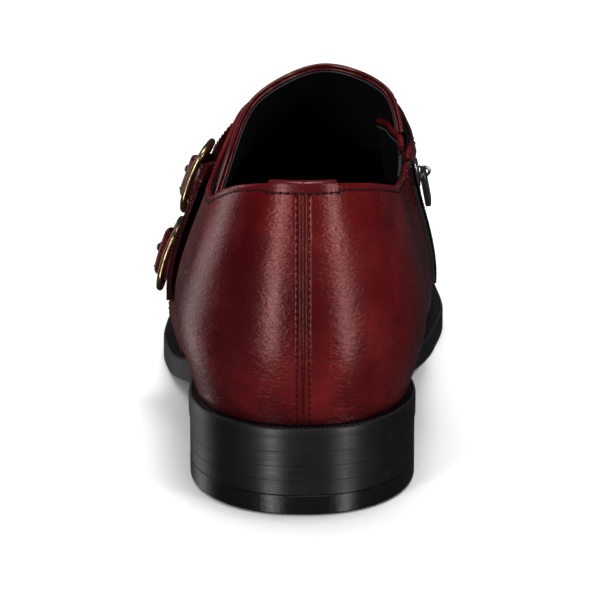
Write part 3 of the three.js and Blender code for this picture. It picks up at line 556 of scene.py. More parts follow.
def ridge_height(y):
    return foot_line(y) + of_form["crown_up"](y)


def curve_between(before, first, second, after, share):
    """Centripetal curve from the second to the third of four points."""
    def gap(a, b):
        return np.maximum(np.sum((a - b) ** 2, axis=-1) ** 0.25, 1e-4)[..., None]

    lead, span, tail = gap(before, first), gap(first, second), gap(second, after)
    start = ((first - before) / lead - (second - before) / (lead + span)) * span + second - first
    end = ((after - second) / tail - (after - first) / (span + tail)) * span + second - first
    w = share[..., None]
    bend = 3 * (second - first) - 2 * start - end
    return first + w * (start + w * (bend + w * (start + end - 2 * (second - first))))


def form(around, side, up, inset=0.0):
    """Points on the last. Up runs from 0 at the foot line to 1 at the crown."""
    around, side, up, inset = np.broadcast_arrays(
        *(np.asarray(v, float) for v in (around, side, up, inset)))
    rough = station(around, 0, SHOE_LENGTH)[0]
    foot_x, foot_y = sole_edge(around, side, welt_step(rough) + inset)

    def ring(name, half, height, across):
        back, toe = LEVEL_ENDS[name]
        y, wide = station(around, back + inset, SHOE_LENGTH - toe - inset)
        x = across(y) + side * np.maximum(half(y) - inset, 0) * wide
        return np.stack([x, y, foot_line(y) + height(y)], axis=-1)

    def pick(name):
        outer, inner = of_form[name + "_outer"], of_form[name + "_inner"]
        return lambda y: np.where(side < 0, outer(y), inner(y))

    start = np.stack([foot_x, foot_y, foot_line(foot_y)], axis=-1)
    swell = ring("swell", pick("swell"), of_form["swell_up"], sole_middle)
    shoulder = ring("shoulder", pick("shoulder"),
                    lambda y: of_form["shoulder_up"](y) - inset * 0.6, sole_middle)
    crown = ring("crown", lambda y: 0 * y, lambda y: of_form["crown_up"](y) - inset,
                 of_form["crown_across"])
    share = pick("brow")(shoulder[..., 1])[..., None]
    brow = shoulder + (crown - shoulder) * np.concatenate([1 - share, 1 - share, share], axis=-1)
    slope = (ridge_height(crown[..., 1] + 1) - ridge_height(crown[..., 1] - 1)) / 2
    beyond = brow[..., 2] + 2 * slope * (crown[..., 1] - brow[..., 1])
    far = np.concatenate([2 * crown[..., :2] - brow[..., :2], beyond[..., None]], axis=-1)
    stops = np.stack([2 * start - swell, start, swell, shoulder, brow, crown, far], axis=-2)
    part = np.clip(np.floor(up * 4), 0, 3).astype(int)

    def stop(n):
        return np.take_along_axis(stops, (part + n)[..., None, None], axis=-2)[..., 0, :]

    return curve_between(stop(0), stop(1), stop(2), stop(3), up * 4 - part)


def on_form(from_heel, over, inset=0.0):
    """Over runs from -1 at the outer foot line, over the crown at 0, to 1 at the inner one."""
    over = np.asarray(over, float)
    side = np.where(over < 0, OUTER, INNER)
    return form(around_at(np.asarray(from_heel, float)), side, 1 - np.abs(over), inset)


def unit(v):
    return v / np.maximum(np.linalg.norm(v, axis=-1), 1e-9)[..., None]


def form_out(from_heel, over, inset=0.0):
    ahead = on_form(from_heel + 1, over, inset) - on_form(from_heel - 1, over, inset)
    across = on_form(from_heel, over + 0.02, inset) - on_form(from_heel, over - 0.02, inset)
    return unit(np.cross(across, ahead))


def topline_height(p):
    share = np.clip((p[..., 0] + 14) / 28, 0, 1)
    height = topline_outer(p[..., 1]) * (1 - share) + topline_inner(p[..., 1]) * share
    return np.where(p[..., 1] > THROAT_END, 1e3, height)


def throat_end():
    """Distance from the heel at which the top edges of both sides meet over the crown."""
    y = np.linspace(100, THROAT_END, 3101)
    crown = on_form(y, np.zeros_like(y))
    return float(y[np.argmax(crown[:, 2] < topline_height(crown))])


def top_of(around, side, inset=0.0, drop=0.0):
    """How far up the form each column of the upper goes before the top edge cuts it."""
    up = np.linspace(0.3, 1, 351)
    p = form(around[:, None], side[:, None], up[None, :], inset)
    above = p[..., 2] - (topline_height(p) - drop)
    cut = above > 0
    first = np.argmax(cut, axis=1)
    rows = np.arange(len(around))
    low, high = above[rows, np.maximum(first - 1, 0)], above[rows, first]
    share = np.where(high - low > 1e-9, -low / np.where(high - low > 1e-9, high - low, 1), 0)
    reached = up[np.maximum(first - 1, 0)] + share * (up[1] - up[0])
    is_open = cut.any(axis=1) & (around < around_at(throat_end()) - 1e-6)
    return np.where(is_open, np.minimum(reached, 1.0), 1.0), is_open


# The tone that the burnish mark darkens to: burnished calf, and on the upper's sides painted
# shade.
BURNISH_AND_SHADE_TONE = (0.006, 0.0012, 0.0016, 1)


def leather_finish(name, deep, red, bloom, crinkle=1.0):
    """Aniline calf, polished: clouded colour, crinkles in patches, fine pores, waxed gloss."""
    calf = Finish(name)
    cloud = calf.between(calf.noise(17.0, 4.0, 0.55, 0.4), 0.36, 0.66)
    patch = calf.between(calf.noise(42.0, 3.0, 0.5), 0.38, 0.66)
    wrinkled = calf.noise(1.0, 3.0, 0.5, 1.1, at=calf.stretched((420, 420, 1000)))
    folds = calf.between(wrinkled, 0.30, 0.70)
    grain = calf.cells(760.0, "DISTANCE_TO_EDGE", at=calf.stretched((0.8, 0.8, 1.4)))
    crack = calf.between(grain, 0.0, 0.10)
    pores = calf.cells(1900.0)
    # The burnish mark darkens the colour towards the burnished tone; on the upper it also carries
    # painted shade on the inner and outer sides.
    burnish_and_shade = calf.mark("burnish_and_shade")
    tone = calf.blend(cloud, deep, red)
    tone = calf.blend(patch * 0.35, tone, bloom)
    tone = calf.blend((1 - folds) * 0.35, tone, deep)
    tone = calf.blend((burnish_and_shade * (cloud * 0.3 + 0.85)).clamp(), tone, BURNISH_AND_SHADE_TONE)
    height = folds * (patch * 0.5 + 0.5) * (0.075 * crinkle) + crack * (0.012 * crinkle)
    height = height + pores * 0.004 + calf.noise(85.0, 3.0, 0.5) * 0.16
    gloss = cloud * -0.03 + patch * 0.04 + (1 - folds) * 0.05 + 0.25
    return calf.close(tone, gloss, height, Specular_IOR_Level=0.42,
                      Specular_Tint=(1.0, 0.50, 0.48, 1))


calf_upper = leather_finish("oxblood_calf", (0.036, 0.0008, 0.0014, 1),
                            (0.112, 0.0032, 0.0046, 1), (0.165, 0.008, 0.010, 1))
calf_strap = leather_finish("oxblood_strap", (0.030, 0.0012, 0.0018, 1),
                            (0.075, 0.0034, 0.0045, 1), (0.10, 0.008, 0.010, 1), 0.7)
edge_paint = leather_finish("oxblood_edge", (0.022, 0.0015, 0.0022, 1),
                            (0.048, 0.004, 0.0055, 1), (0.065, 0.008, 0.010, 1), 0.2)

# The heel seam stands in two turned ridges beside a groove, with a stitch row outside each.
SEAM = {"middle": 0.15, "ridge": 1.0, "ridge_wide": 0.36, "ridge_tall": 0.42,
        "groove_wide": 0.34, "groove_deep": 0.32, "stitch": 1.95, "stitch_sink": 0.24}
# The heel tab is folded over the top edge there, and the seam is hammered flat under it.
TAB_STITCH = {"pitch": 2.2, "long": 1.6, "wide": 0.95, "tall": 0.5, "lift": 0.0}
TAB = {"half": 10.2, "outside": 2.6, "inside": 7.5, "thick": 0.75, "rise": 0.8, "wall": 2.0}
# The turned top edge stands up a little, with a stitched groove below it.
ROLL = {"tall": 0.24, "at": 0.45, "wide": 0.5, "groove": 0.2, "groove_at": 1.5,
        "groove_wide": 0.34}
CALF_INSIDE, LINING_OUTSIDE = 1.25, 1.32
# The vamp lies one step below the quarters, and the rim of the top edge is rounded up.
QUARTER_STEP, RIM_LIFT, SEAM_REACH = 0.7, 0.55, 8
VAMP_SEAM = {"over": (-1.0, -0.7, -0.4, -0.2, 0.2, 0.4, 0.7, 1.0),
             "from_heel": (168, 160, 152, 150, 150, 153, 160, 166)}
# Soft troughs (+) and swellings (-) where the calf was drawn over the last.
CREASES = (
    {"from": (50, -0.50), "to": (36, -0.62), "wide": 2.6, "deep": 0.28},
    {"from": (58, -0.47), "to": (48, -0.66), "wide": 2.2, "deep": 0.24},
    {"from": (70, -0.46), "to": (62, -0.62), "wide": 3.0, "deep": 0.30},
    {"from": (60, 0.47), "to": (48, 0.62), "wide": 3.4, "deep": 0.22},
    {"from": (176, -0.5), "to": (180, -0.1), "wide": 3.2, "deep": 0.30},
    {"from": (180, 0.1), "to": (178, 0.52), "wide": 3.2, "deep": 0.30},
    {"from": (196, -0.42), "to": (200, 0.05), "wide": 4.2, "deep": 0.26},
    {"from": (199, 0.12), "to": (196, 0.5), "wide": 4.0, "deep": 0.24},
    {"from": (188, -0.3), "to": (190, 0.3), "wide": 4.4, "deep": -0.22},
)
vamp_seam = column(VAMP_SEAM, "from_heel", "over")


def bell(distance, wide):
    return np.exp(-(distance / wide) ** 2)


def upper_stations():
    """Places round one side: close at the heel seam, near the throat's end, even elsewhere."""
    fine = np.concatenate([np.arange(0, 3.0, 0.16), np.arange(3.0, 9.0, 0.75)])
    fine = np.arcsin((fine / of_form["swell_outer"](0)) ** (HEEL_SQUARENESS / 2))
    fine = fine / (math.pi / 2) * HEEL_SHARE
    apex = around_at(throat_end() - np.linspace(0, 1, 16) ** 2 * 16)
    even = np.concatenate([
        np.linspace(fine[-1], HEEL_SHARE, 40)[1:],
        np.linspace(HEEL_SHARE, 1 - TOE_SHARE, 132)[1:],
        np.linspace(1 - TOE_SHARE, 1, 46)[1:]])
    return np.unique(np.round(np.concatenate([fine, apex, even]), 7))


def shell_skin(inset, rows, drop=0.0, top_rows=14, top_reach=3.4):
    """Grid of points round the whole form: columns from the foot line to the top edge."""
    way = upper_stations()
    around = np.concatenate([way, way[::-1][1:]])
    side = np.concatenate([np.full(len(way), OUTER), np.full(len(way) - 1, INNER)])
    top, open_top = top_of(around, side, inset, drop)
    step = 0.01
    speed = np.linalg.norm(
        form(around, side, top, inset) - form(around, side, top - step, inset), axis=-1) / step
    near = top[:, None] - np.linspace(0, 1, top_rows) ** 1.25 * top_reach / speed[:, None]
    low = near[:, -1:] * np.linspace(0, 1, rows - top_rows + 1)[None, :-1]
    up = np.concatenate([low, near[:, ::-1]], axis=1)
    grid = form(around[:, None], side[:, None], up, inset)
    grid[0] = grid[-1] = (grid[0] + grid[-1]) / 2
    return grid, around, side, up, open_top


def grid_out(grid, open_top):
    """Outward directions, made equal where the two sides meet at the heel and the crown."""
    out = unit(np.cross(np.gradient(grid, axis=1), np.gradient(grid, axis=0)))
    both = unit(out + out[::-1])
    out[0], out[-1] = both[0], both[-1]
    out[~open_top, -1] = both[~open_top, -1]
    return out


def shell_faces(columns, rim, open_top):
    """Faces of a closed shell: columns run up the outside, over the rim and down the inside."""
    total, count = columns.shape[:2]
    faces = []
    for i in range(total - 1):
        for j in range(count):
            shut = not (open_top[i] or open_top[i + 1])
            if shut and rim[0] <= j < rim[1]:
                continue
            k = (j + 1) % count
            faces.append([i * count + j, i * count + k, (i + 1) * count + k, (i + 1) * count + j])
    return faces


def crease_depth(p):
    depth = np.zeros(p.shape[:-1])
    for crease in CREASES:
        ends = [on_form(np.array(crease[k][0]), np.array(crease[k][1])) for k in ("from", "to")]
        line = ends[1] - ends[0]
        share = np.clip(((p - ends[0]) @ line) / (line @ line), 0, 1)
        away = np.linalg.norm(p - ends[0] - share[..., None] * line, axis=-1)
        taper = np.sin(np.pi * np.clip(share, 0.04, 0.96))
        depth += crease["deep"] * taper * bell(away, crease["wide"])
    return depth


def quarter_share(p, side, up):
    """1 on the quarters, 0 on the vamp, soft where the quarter's edge lies on the vamp."""
    edge = vamp_seam(side * (1 - up))
    return 1 / (1 + np.exp(np.clip((p[..., 1] - edge) / 0.35, -40, 40)))


def upper_shell():
    grid, around, side, up, open_top = shell_skin(0.0, 92)
    out = grid_out(grid, open_top)
    seam = np.abs(grid[..., 0] - SEAM["middle"])
    at_heel = grid[..., 1] < SEAM_REACH
    below = np.linalg.norm(grid - grid[:, -1:, :], axis=-1)
    under_tab = at_heel * np.clip((below - TAB["outside"]) / 0.5 + 1, 0, 1)
    edge = open_top[:, None]
    swell = under_tab * (
        SEAM["ridge_tall"] * bell(seam - SEAM["ridge"], SEAM["ridge_wide"])
        - SEAM["groove_deep"] * bell(seam, SEAM["groove_wide"])
        - SEAM["stitch_sink"] * bell(seam - SEAM["stitch"], 0.3))
    swell = swell + edge * (
        ROLL["tall"] * bell(below - ROLL["at"], ROLL["wide"])
        - ROLL["groove"] * bell(below - ROLL["groove_at"], ROLL["groove_wide"]))
    quarter = quarter_share(grid, side[:, None], up)
    swell = swell - (1 - quarter) * QUARTER_STEP - crease_depth(grid)
    shaped = grid + out * swell[..., None]
    low = np.clip((grid[..., 2] - foot_line(grid[..., 1])) / 7.5, 0, 1)
    # Painted shade: the inner side of the quarters towards the heel is darkened as if in the
    # shadow of the other shoe of the pair, and a band on the outer side towards the heel is
    # darkened where little light falls.
    inner_painted_shade = np.clip((grid[..., 0] - 20) / 20, 0, 1) ** 1.5 * (grid[..., 1] < 140)
    outer_painted_shade = np.clip((-14 - grid[..., 0]) / 16, 0, 1) * (grid[..., 1] < 60)
    throat = (side > 0) * np.clip((grid[:, -1, 1] - 80) / 10, 0, 1) * open_top
    # The burnish mark darkens the calf towards the foot line, along the heel seam and its stitch
    # rows, in the topline groove, on the quarters' edge over the vamp, at the toe and on the inner
    # throat rim; its two side terms are painted shade.
    burnish_and_shade = np.maximum.reduce([
        0.92 * (1 - low) ** 2.2,
        under_tab * 0.85 * bell(seam, 0.34),
        under_tab * 0.25 * bell(seam - SEAM["stitch"], 0.42),
        edge * 0.35 * bell(below - ROLL["groove_at"], 0.45),
        0.8 * quarter * (1 - quarter) * 4,
        0.35 * np.clip((grid[..., 1] - 262) / 44, 0, 1),
        # Painted shade on the inner and outer sides, not burnish.
        0.85 * inner_painted_shade * bell(grid[..., 1] - 40, 70),
        0.3 * outer_painted_shade * bell(grid[..., 2] - 62, 20),
        0.8 * throat[:, None] * np.clip(1.6 - below, 0, 1)])
    inner = shell_skin(CALF_INSIDE, 30, top_rows=4)[0]
    rim = []
    for turn in np.linspace(0, math.pi, 7)[1:-1]:
        share = (1 - math.cos(turn)) / 2
        lift = RIM_LIFT * math.sin(turn) * open_top
        point = shaped[:, -1] * (1 - share) + inner[:, -1] * share
        rim.append(point + np.stack([0 * lift, 0 * lift, lift], axis=1))
    columns = np.concatenate([shaped, np.stack(rim, axis=1), inner[:, ::-1]], axis=1)
    dark_rim = np.repeat(0.85 * throat[:, None], len(rim) + inner.shape[1], axis=1)
    marks = {"burnish_and_shade": np.concatenate([burnish_and_shade, dark_rim], axis=1)}
    first_rim = shaped.shape[1] - 1
    faces = shell_faces(columns, (first_rim, first_rim + len(rim) + 1), open_top)
    piece = leather_piece("upper_calf", columns.reshape(-1, 3), faces, calf_upper, 50, marks)
    return piece, (grid, shaped, out, open_top)


upper, skin = upper_shell()


def way_along(table):
    """The middle line of a strap or zip: places on the form, from 0 to 1 along it."""
    rows = [table["from_heel"], [100 * v for v in table["over"]], table["lift"]]
    stops = np.array(rows, float).T
    stops = np.concatenate([[2 * stops[0] - stops[1]], stops, [2 * stops[-1] - stops[-2]]])

    def middle(along):
        along = np.asarray(along, float)
        part = np.clip(np.floor(along * (len(stops) - 3)), 0, len(stops) - 4).astype(int)
        four = [stops[part + n] for n in range(4)]
        return curve_between(*four, along * (len(stops) - 3) - part)

    return middle


def laid(middle, along, reach, lift):
    """Points and outward directions beside a middle line, lifted off the form."""
    along, reach, lift = np.broadcast_arrays(
        *(np.asarray(v, float) for v in (along, reach, lift)))
    spot = middle(along)
    ahead, behind = middle(np.minimum(along + 0.01, 1)), middle(np.maximum(along - 0.01, 0))
    y, over = spot[..., 0], spot[..., 1] / 100
    here = on_form(y, over)
    onward = (on_form(ahead[..., 0], ahead[..., 1] / 100)
              - on_form(behind[..., 0], behind[..., 1] / 100))
    move = unit(np.cross(onward, form_out(y, over))) * reach[..., None]
    per_y = on_form(y + 1, over) - here
    per_over = (on_form(y, over + 0.01) - here) * 100
    aa, ab, bb = (np.sum(p * q, axis=-1) for p, q in (
        (per_y, per_y), (per_y, per_over), (per_over, per_over)))
    am, bm = np.sum(per_y * move, axis=-1), np.sum(per_over * move, axis=-1)
    scale = aa * bb - ab * ab
    y = y + (am * bb - bm * ab) / scale
    over = over + (bm * aa - am * ab) / scale
    out = form_out(y, over)
    return on_form(y, over) + out * (spot[..., 2] + lift)[..., None], out


ZIP_LINE = {
    "from_heel": (71, 75, 79, 84, 89, 91),
    "over": (0.36, 0.44, 0.53, 0.61, 0.68, 0.71),
    "lift": (0, 0, 0, 0, 0, 0),
}
ZIP_SLOT = {"wide": 5.0, "from": -6.0, "to": 4.0, "steps": 40, "across": 5}
zip_middle = way_along(ZIP_LINE)


def end_faces(rows, count):
    """The two faces that close a run of rings at its ends."""
    return [list(range(base, base + count)) for base in (0, (rows - 1) * count)]


def slot_cutter():
    steps, across, half = ZIP_SLOT["steps"], ZIP_SLOT["across"], ZIP_SLOT["wide"] / 2
    along = np.linspace(0, 1, steps)[:, None]
    reach = np.linspace(-half, half, across)[None, :]
    low, high = (laid(zip_middle, along, reach, ZIP_SLOT[end])[0] for end in ("from", "to"))
    ring = np.concatenate([low, high[:, ::-1]], axis=1)
    faces = quads(steps, 2 * across, wrap=True) + end_faces(steps, 2 * across)
    return leather_piece("slot_cutter", ring.reshape(-1, 3), faces, calf_upper)


def cut_with(piece, cutter):
    cut = piece.modifiers.new("slot", "BOOLEAN")
    cut.operation = "DIFFERENCE"
    cut.solver = "MANIFOLD"
    cut.object = cutter
    work_in(piece, cut)


def lining_shell():
    outer, around, side, _, open_top = shell_skin(LINING_OUTSIDE, 34, 0.5, 4)
    inner = shell_skin(UPPER_WALL, 34, 0.7, 4)[0]
    columns = np.concatenate([outer, inner[:, ::-1]], axis=1)
    rim = outer.shape[1] - 1
    return columns.reshape(-1, 3), shell_faces(columns, (rim, rim + 1), open_top)


lining_cloth = Finish("black_lining")
nap = lining_cloth.noise(900.0, 3.0, 0.6)
lining_shade = lining_cloth.noise(24.0, 4.0, 0.6)
lining_finish = lining_cloth.close(
    lining_cloth.blend(lining_shade, (0.0012, 0.0012, 0.0014, 1), (0.0035, 0.0035, 0.0038, 1)),
    lining_shade * 0.1 + 0.72,
    nap * 0.03 + lining_cloth.noise(60.0, 3.0) * 0.3, Specular_IOR_Level=0.12)
lining_points, lining_faces = lining_shell()
lining = leather_piece("upper_lining", lining_points, lining_faces, lining_finish, 50)
cutter = slot_cutter()
cut_with(upper, cutter)
cut_with(lining, cutter)
bpy.data.objects.remove(cutter)
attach(upper, "shoe")
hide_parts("upper")
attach(lining, "shoe")


def tube(name, path, out, wide, tall, finish, sides=12, closed=False, **more):
    """A round or oval cord along a path, wide across it and tall along its outward direction."""
    ahead = np.roll(path, -1, axis=0) - np.roll(path, 1, axis=0)
    if not closed:
        ahead[0], ahead[-1] = path[1] - path[0], path[-1] - path[-2]
    across = unit(np.cross(unit(ahead), out))
    out = unit(np.cross(across, unit(ahead)))
    turn = np.linspace(0, 2 * math.pi, sides, endpoint=False)[None, :, None]
    ring = (path[:, None] + across[:, None] * np.cos(turn) * wide
            + out[:, None] * np.sin(turn) * tall)
    points = ring.reshape(-1, 3)
    faces = quads(len(path), sides, wrap=True)
    if closed:
        last = (len(path) - 1) * sides
        faces += [[last + i, last + (i + 1) % sides, (i + 1) % sides, i] for i in range(sides)]
    else:
        faces += end_faces(len(path), sides)
    return leather_piece(name, points, faces, finish, **more)


def sheet(name, first, second, finish, sharp, worn=None):
    """A closed sheet between two grids of points; worn is its burnish, the same on both."""
    ring = np.concatenate([first, second[:, ::-1]], axis=1)
    marks = {} if worn is None else {"burnish_and_shade": np.concatenate([worn, worn[:, ::-1]], axis=1)}
    return leather_piece(name, ring.reshape(-1, 3), sheet_faces(*ring.shape[:2]), finish, sharp,
                         marks)


# Thread: waxed linen, darker than the calf, sunk into the rows that it has pulled down.
STITCH = {"pitch": 2.15, "long": 1.5, "wide": 0.75, "tall": 0.5, "lift": 0.0}
thread_finish = stirred_finish("oxblood_thread", (2600.0, 2.0), (0.003, 0.0008, 0.001, 1),
                               (0.010, 0.0015, 0.002, 1), (0.15, 0.55), 0.02,
                               Specular_IOR_Level=0.15)


def crossing(value, at, points, outs):
    """Where a line of points passes a value: the point and the outward direction there."""
    return [[np.interp(value, at, line[:, k]) for k in range(3)] for line in (points, outs)]


def heel_rows():
    """Stitch rows on both sides of the heel seam, from under the tab to the welt."""
    grid, shaped, out, _ = skin
    paths = []
    for across in (SEAM["middle"] - SEAM["stitch"], SEAM["middle"] + SEAM["stitch"]):
        rows = []
        for j in range(2, grid.shape[1] - 12):
            near = np.where(grid[:, j, 1] < SEAM_REACH)[0]
            order = near[np.argsort(grid[near, j, 0])]
            rows.append(crossing(across, grid[order, j, 0], shaped[order, j], out[order, j]))
        paths.append(np.array(rows).transpose(1, 0, 2))
    return paths


def topline_rows(below, until):
    """A stitch row along the top edge of each side, a given distance below it."""
    grid, shaped, out, open_top = skin
    paths = []
    half = len(open_top) // 2 + 1
    for columns in (np.arange(half), np.arange(half - 1, len(open_top))[::-1]):
        rows = []
        for c in columns:
            if open_top[c] and grid[c, -1, 1] < until:
                fall = np.linalg.norm(grid[c] - grid[c, -1], axis=-1)[::-1]
                rows.append(crossing(below, fall, shaped[c, ::-1], out[c, ::-1]))
        paths.append(np.array(rows).transpose(1, 0, 2))
    return paths


def vamp_rows():
    """Two rows where each quarter is sewn down on the vamp."""
    paths = []
    for back in (1.6, 3.6):
        for ends in ((-0.97, -0.10), (0.10, 0.97)):
            over = np.linspace(*ends, 90)
            y = vamp_seam(over) - back
            paths.append((on_form(y, over), form_out(y, over)))
    return paths


upper_rows = heel_rows() + topline_rows(ROLL["groove_at"], 118) + vamp_rows()
upper_stitches = run_rows("upper_stitches", bead_row, upper_rows, STITCH, thread_finish)
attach(upper_stitches, "shoe")

# ------------------------------------------------------------------ heel tab
# A short band of the same calf is folded over the top edge at the heel seam and held by one
# bold stitch row. Its folded top stands a little above the line of the quarters.


def tab_section(share, lift):
    """One fold over the edge: distance inwards and height, from outside bottom to inside."""
    outside, inside, wall = TAB["outside"], TAB["inside"], TAB["wall"]
    down = np.clip(1 - share / 0.25, 0, 1)
    over_turn = np.clip((share - 0.25) / 0.35, 0, 1) * math.pi
    within = np.clip((share - 0.6) / 0.4, 0, 1)
    depth = wall / 2 * (1 - np.cos(over_turn)) - lift * np.cos(over_turn)
    height = (TAB["rise"] + lift) * np.sin(over_turn) - outside * down - inside * within
    return depth, height


def heel_tab():
    across = np.linspace(-TAB["half"], TAB["half"], 60)
    side = np.where(across < 0, OUTER, INNER)
    around = np.zeros(len(across))
    for hand in (OUTER, INNER):
        sweep = HEEL_SHARE * np.linspace(0, 1, 240) ** 3
        hands = np.full(len(sweep), hand)
        reach = np.abs(form(sweep, hands, top_of(sweep, hands)[0])[:, 0])
        around = np.where(side == hand, np.interp(np.abs(across), reach, sweep), around)
    top, _ = top_of(around, side)
    edge = form(around, side, top)
    ahead = np.gradient(edge, axis=0)
    inward = unit(np.cross(np.array([0, 0, 1.0]), unit(ahead)))
    share = np.linspace(0, 1, 40)
    layers = []
    for lift in (TAB["thick"], 0.05):
        depth, height = tab_section(share, lift)
        bulge = 0.14 * bell(share - 0.1, 0.05) * (lift > 0.1)
        place = edge[:, None] + inward[:, None] * (depth - bulge)[None, :, None]
        layers.append(place + np.array([0, 0, 1.0]) * height[None, :, None])
    ends = bell(1 - np.abs(across) / TAB["half"], 0.03)
    worn = np.maximum(0.5 * ends[:, None], 0.3 * bell(share, 0.03)[None, :])
    return sheet("heel_tab", *layers, calf_strap, 50, worn), (layers[0][:, 2], -inward)


tab, tab_row = heel_tab()
tab_stitches = run_rows("tab_stitches", bead_row, [tab_row], TAB_STITCH, thread_finish)
for piece in (tab, tab_stitches):
    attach(piece, "shoe")

# ------------------------------------------------------------------ tongue
# Calf tongue under the quarters, lined in black. Its standing edge is bound with a rolled
# strip, with a seam below the roll and a thin grey piping on the lined side.
TONGUE = {
    "over": (-0.51, -0.46, -0.4, -0.3, -0.2, -0.1, 0, 0.1, 0.2, 0.3, 0.38),
    "rear": (72, 78, 86, 94, 101, 107, 109, 107, 102, 96, 92),
    "front": (112, 120, 130, 146, 158, 166, 168, 166, 158, 146, 132),
}
TONGUE_THICK = 2.2


def panel_spot(table, across, along):
    """A place between the rear and front edges of a panel that goes across the form."""
    over = table["over"][0] + (table["over"][-1] - table["over"][0]) * across
    rear, front = (column(table, edge, "over")(over) for edge in ("rear", "front"))
    return rear + (front - rear) * along, over


def tongue_at(across, along, lift):
    y, over = panel_spot(TONGUE, across, along)
    out = form_out(y, over, UPPER_WALL)
    base = on_form(y, over, UPPER_WALL)
    return base + out * np.asarray(lift - 2 * JOINT - TONGUE_THICK)[..., None], out


def slab(name, place, rows, columns, low, high, finish, marks=None):
    """A closed sheet between two lifts of one surface; its edges are rounded over."""
    a, b = np.meshgrid(np.linspace(0, 1, rows), np.linspace(0, 1, columns), indexing="ij")
    under, above = (place(a, b, np.full_like(a, lift))[0] for lift in (low, high))
    piece = sheet(name, under, above, finish, 45, marks(a, b) if marks else None)
    edge = piece.modifiers.new("edge", "BEVEL")
    edge.width = 0.28 * (high - low) * MM
    edge.segments = 3
    edge.angle_limit = math.radians(50)
    return piece


tongue = slab("tongue_calf", tongue_at, 90, 40, 1.0, TONGUE_THICK, calf_strap,
              lambda a, b: 0.5 * bell(b - 0.055, 0.02))
tongue_lining = slab("tongue_lining", tongue_at, 90, 40, 0.0, 0.95, lining_finish)
edge_run = np.linspace(0, 1, 140)
piping_grey = stirred_finish("grey_piping", (1400.0, 2.0), (0.02, 0.02, 0.022, 1),
                             (0.06, 0.06, 0.063, 1), (0.1, 0.45), 0.03)
tongue_cords = [
    tube(name, *tongue_at(edge_run, along, lift), wide, tall, finish, sides)
    for name, along, lift, wide, tall, finish, sides in (
        ("tongue_binding", 0.003, 1.75, 0.75, 0.68, edge_paint, 16),
        ("tongue_turned_edge", 0.006, 0.55, 0.5, 0.42, calf_strap, 12),
        ("tongue_piping", 0.045, -0.02, 0.34, 0.34, piping_grey, 10))]
tongue_stitches = run_rows("tongue_stitches", bead_row, [tongue_at(edge_run, 0.036, 2.3)],
                           STITCH, thread_finish)
for piece in [tongue, tongue_lining] + tongue_cords + [tongue_stitches]:
    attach(piece, "shoe")
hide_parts("tongue")

# ------------------------------------------------------------------ throat gusset
# A lined calf panel on the inner side joins the zip to the tongue and folds inwards when
# the shoe is closed. Its free top edge is bound like the tongue's.
GUSSET = {
    "from_heel": (85, 91, 96, 101, 107),
    "top": (0.415, 0.402, 0.385, 0.365, 0.345),
    "bottom": (0.51, 0.52, 0.52, 0.52, 0.5),
    "depth": (4, 4.6, 7.1, 8.2, 10.2),
}
GUSSET_THICK = 1.6
gusset_rear, gusset_front = GUSSET["from_heel"][0], GUSSET["from_heel"][-1]
gusset_top, gusset_bottom, gusset_depth = (
    column(GUSSET, key) for key in ("top", "bottom", "depth"))


def gusset_at(along, down, lift):
    y = gusset_rear + (gusset_front - gusset_rear) * along
    over = gusset_bottom(y) + (gusset_top(y) - gusset_bottom(y)) * down
    out = form_out(y, over)
    return on_form(y, over) + out * (lift - gusset_depth(y))[..., None], out


gusset = slab("gusset_calf", gusset_at, 40, 30, 0.75, GUSSET_THICK, calf_strap)
gusset_lining = slab("gusset_lining", gusset_at, 40, 30, 0.0, 0.7, lining_finish)
gusset_run = np.linspace(0, 1, 60)
gusset_edge = tube("gusset_binding", *gusset_at(gusset_run, 1.0, 0.85), 0.9, 1.05,
                   calf_strap, 14)
gusset_cord = tube("gusset_piping", *gusset_at(gusset_run, 0.88, -0.05), 0.3, 0.3,
                   piping_grey, 8)
for piece in (gusset, gusset_lining, gusset_edge, gusset_cord):
    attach(piece, "shoe")
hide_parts("throat_gusset")

# ------------------------------------------------------------------ straps
# Two straps of doubled calf come over the instep from the inner side and hump over the bars
# of their buckles. Their edges are painted and stitched all round.
# Both rise by the same steps, and the stop where they lie on the bar has the same number.
STRAP_LIFT = (0.8, 0.8, 0.8, 0.8, 0.9, 1.4, 2.3, 2.3, 2.3, 5, 7.8, 5, 2.6, 2.9)
BAR_STOP = 10
UPPER_STRAP = {
    "from_heel": (116, 128, 139, 144, 141, 131, 120, 112, 109, 106, 102, 98, 95, 91),
    "over": (0.46, 0.32, 0.16, 0, -0.17, -0.34, -0.45, -0.49, -0.5, -0.51, -0.52, -0.526,
             -0.532, -0.54),
    "lift": STRAP_LIFT,
}
LOWER_STRAP = {
    "from_heel": (134, 149, 164, 171, 168, 154, 134, 122, 119, 116, 112, 108, 105, 101),
    "over": (0.62, 0.44, 0.24, 0, -0.24, -0.47, -0.605, -0.643, -0.651, -0.658, -0.666, -0.674,
             -0.68, -0.687),
    "lift": STRAP_LIFT,
}
STRAP_WIDE, STRAP_THICK, STRAP_SEAM_IN, STRAP_TIP = 15.0, 1.7, 1.7, 0.95


def strap_half(along):
    past = np.clip((along - STRAP_TIP) / (1 - STRAP_TIP), 0, 1)
    return STRAP_WIDE / 2 * np.sqrt(np.maximum(1 - past ** 2, 0.01))


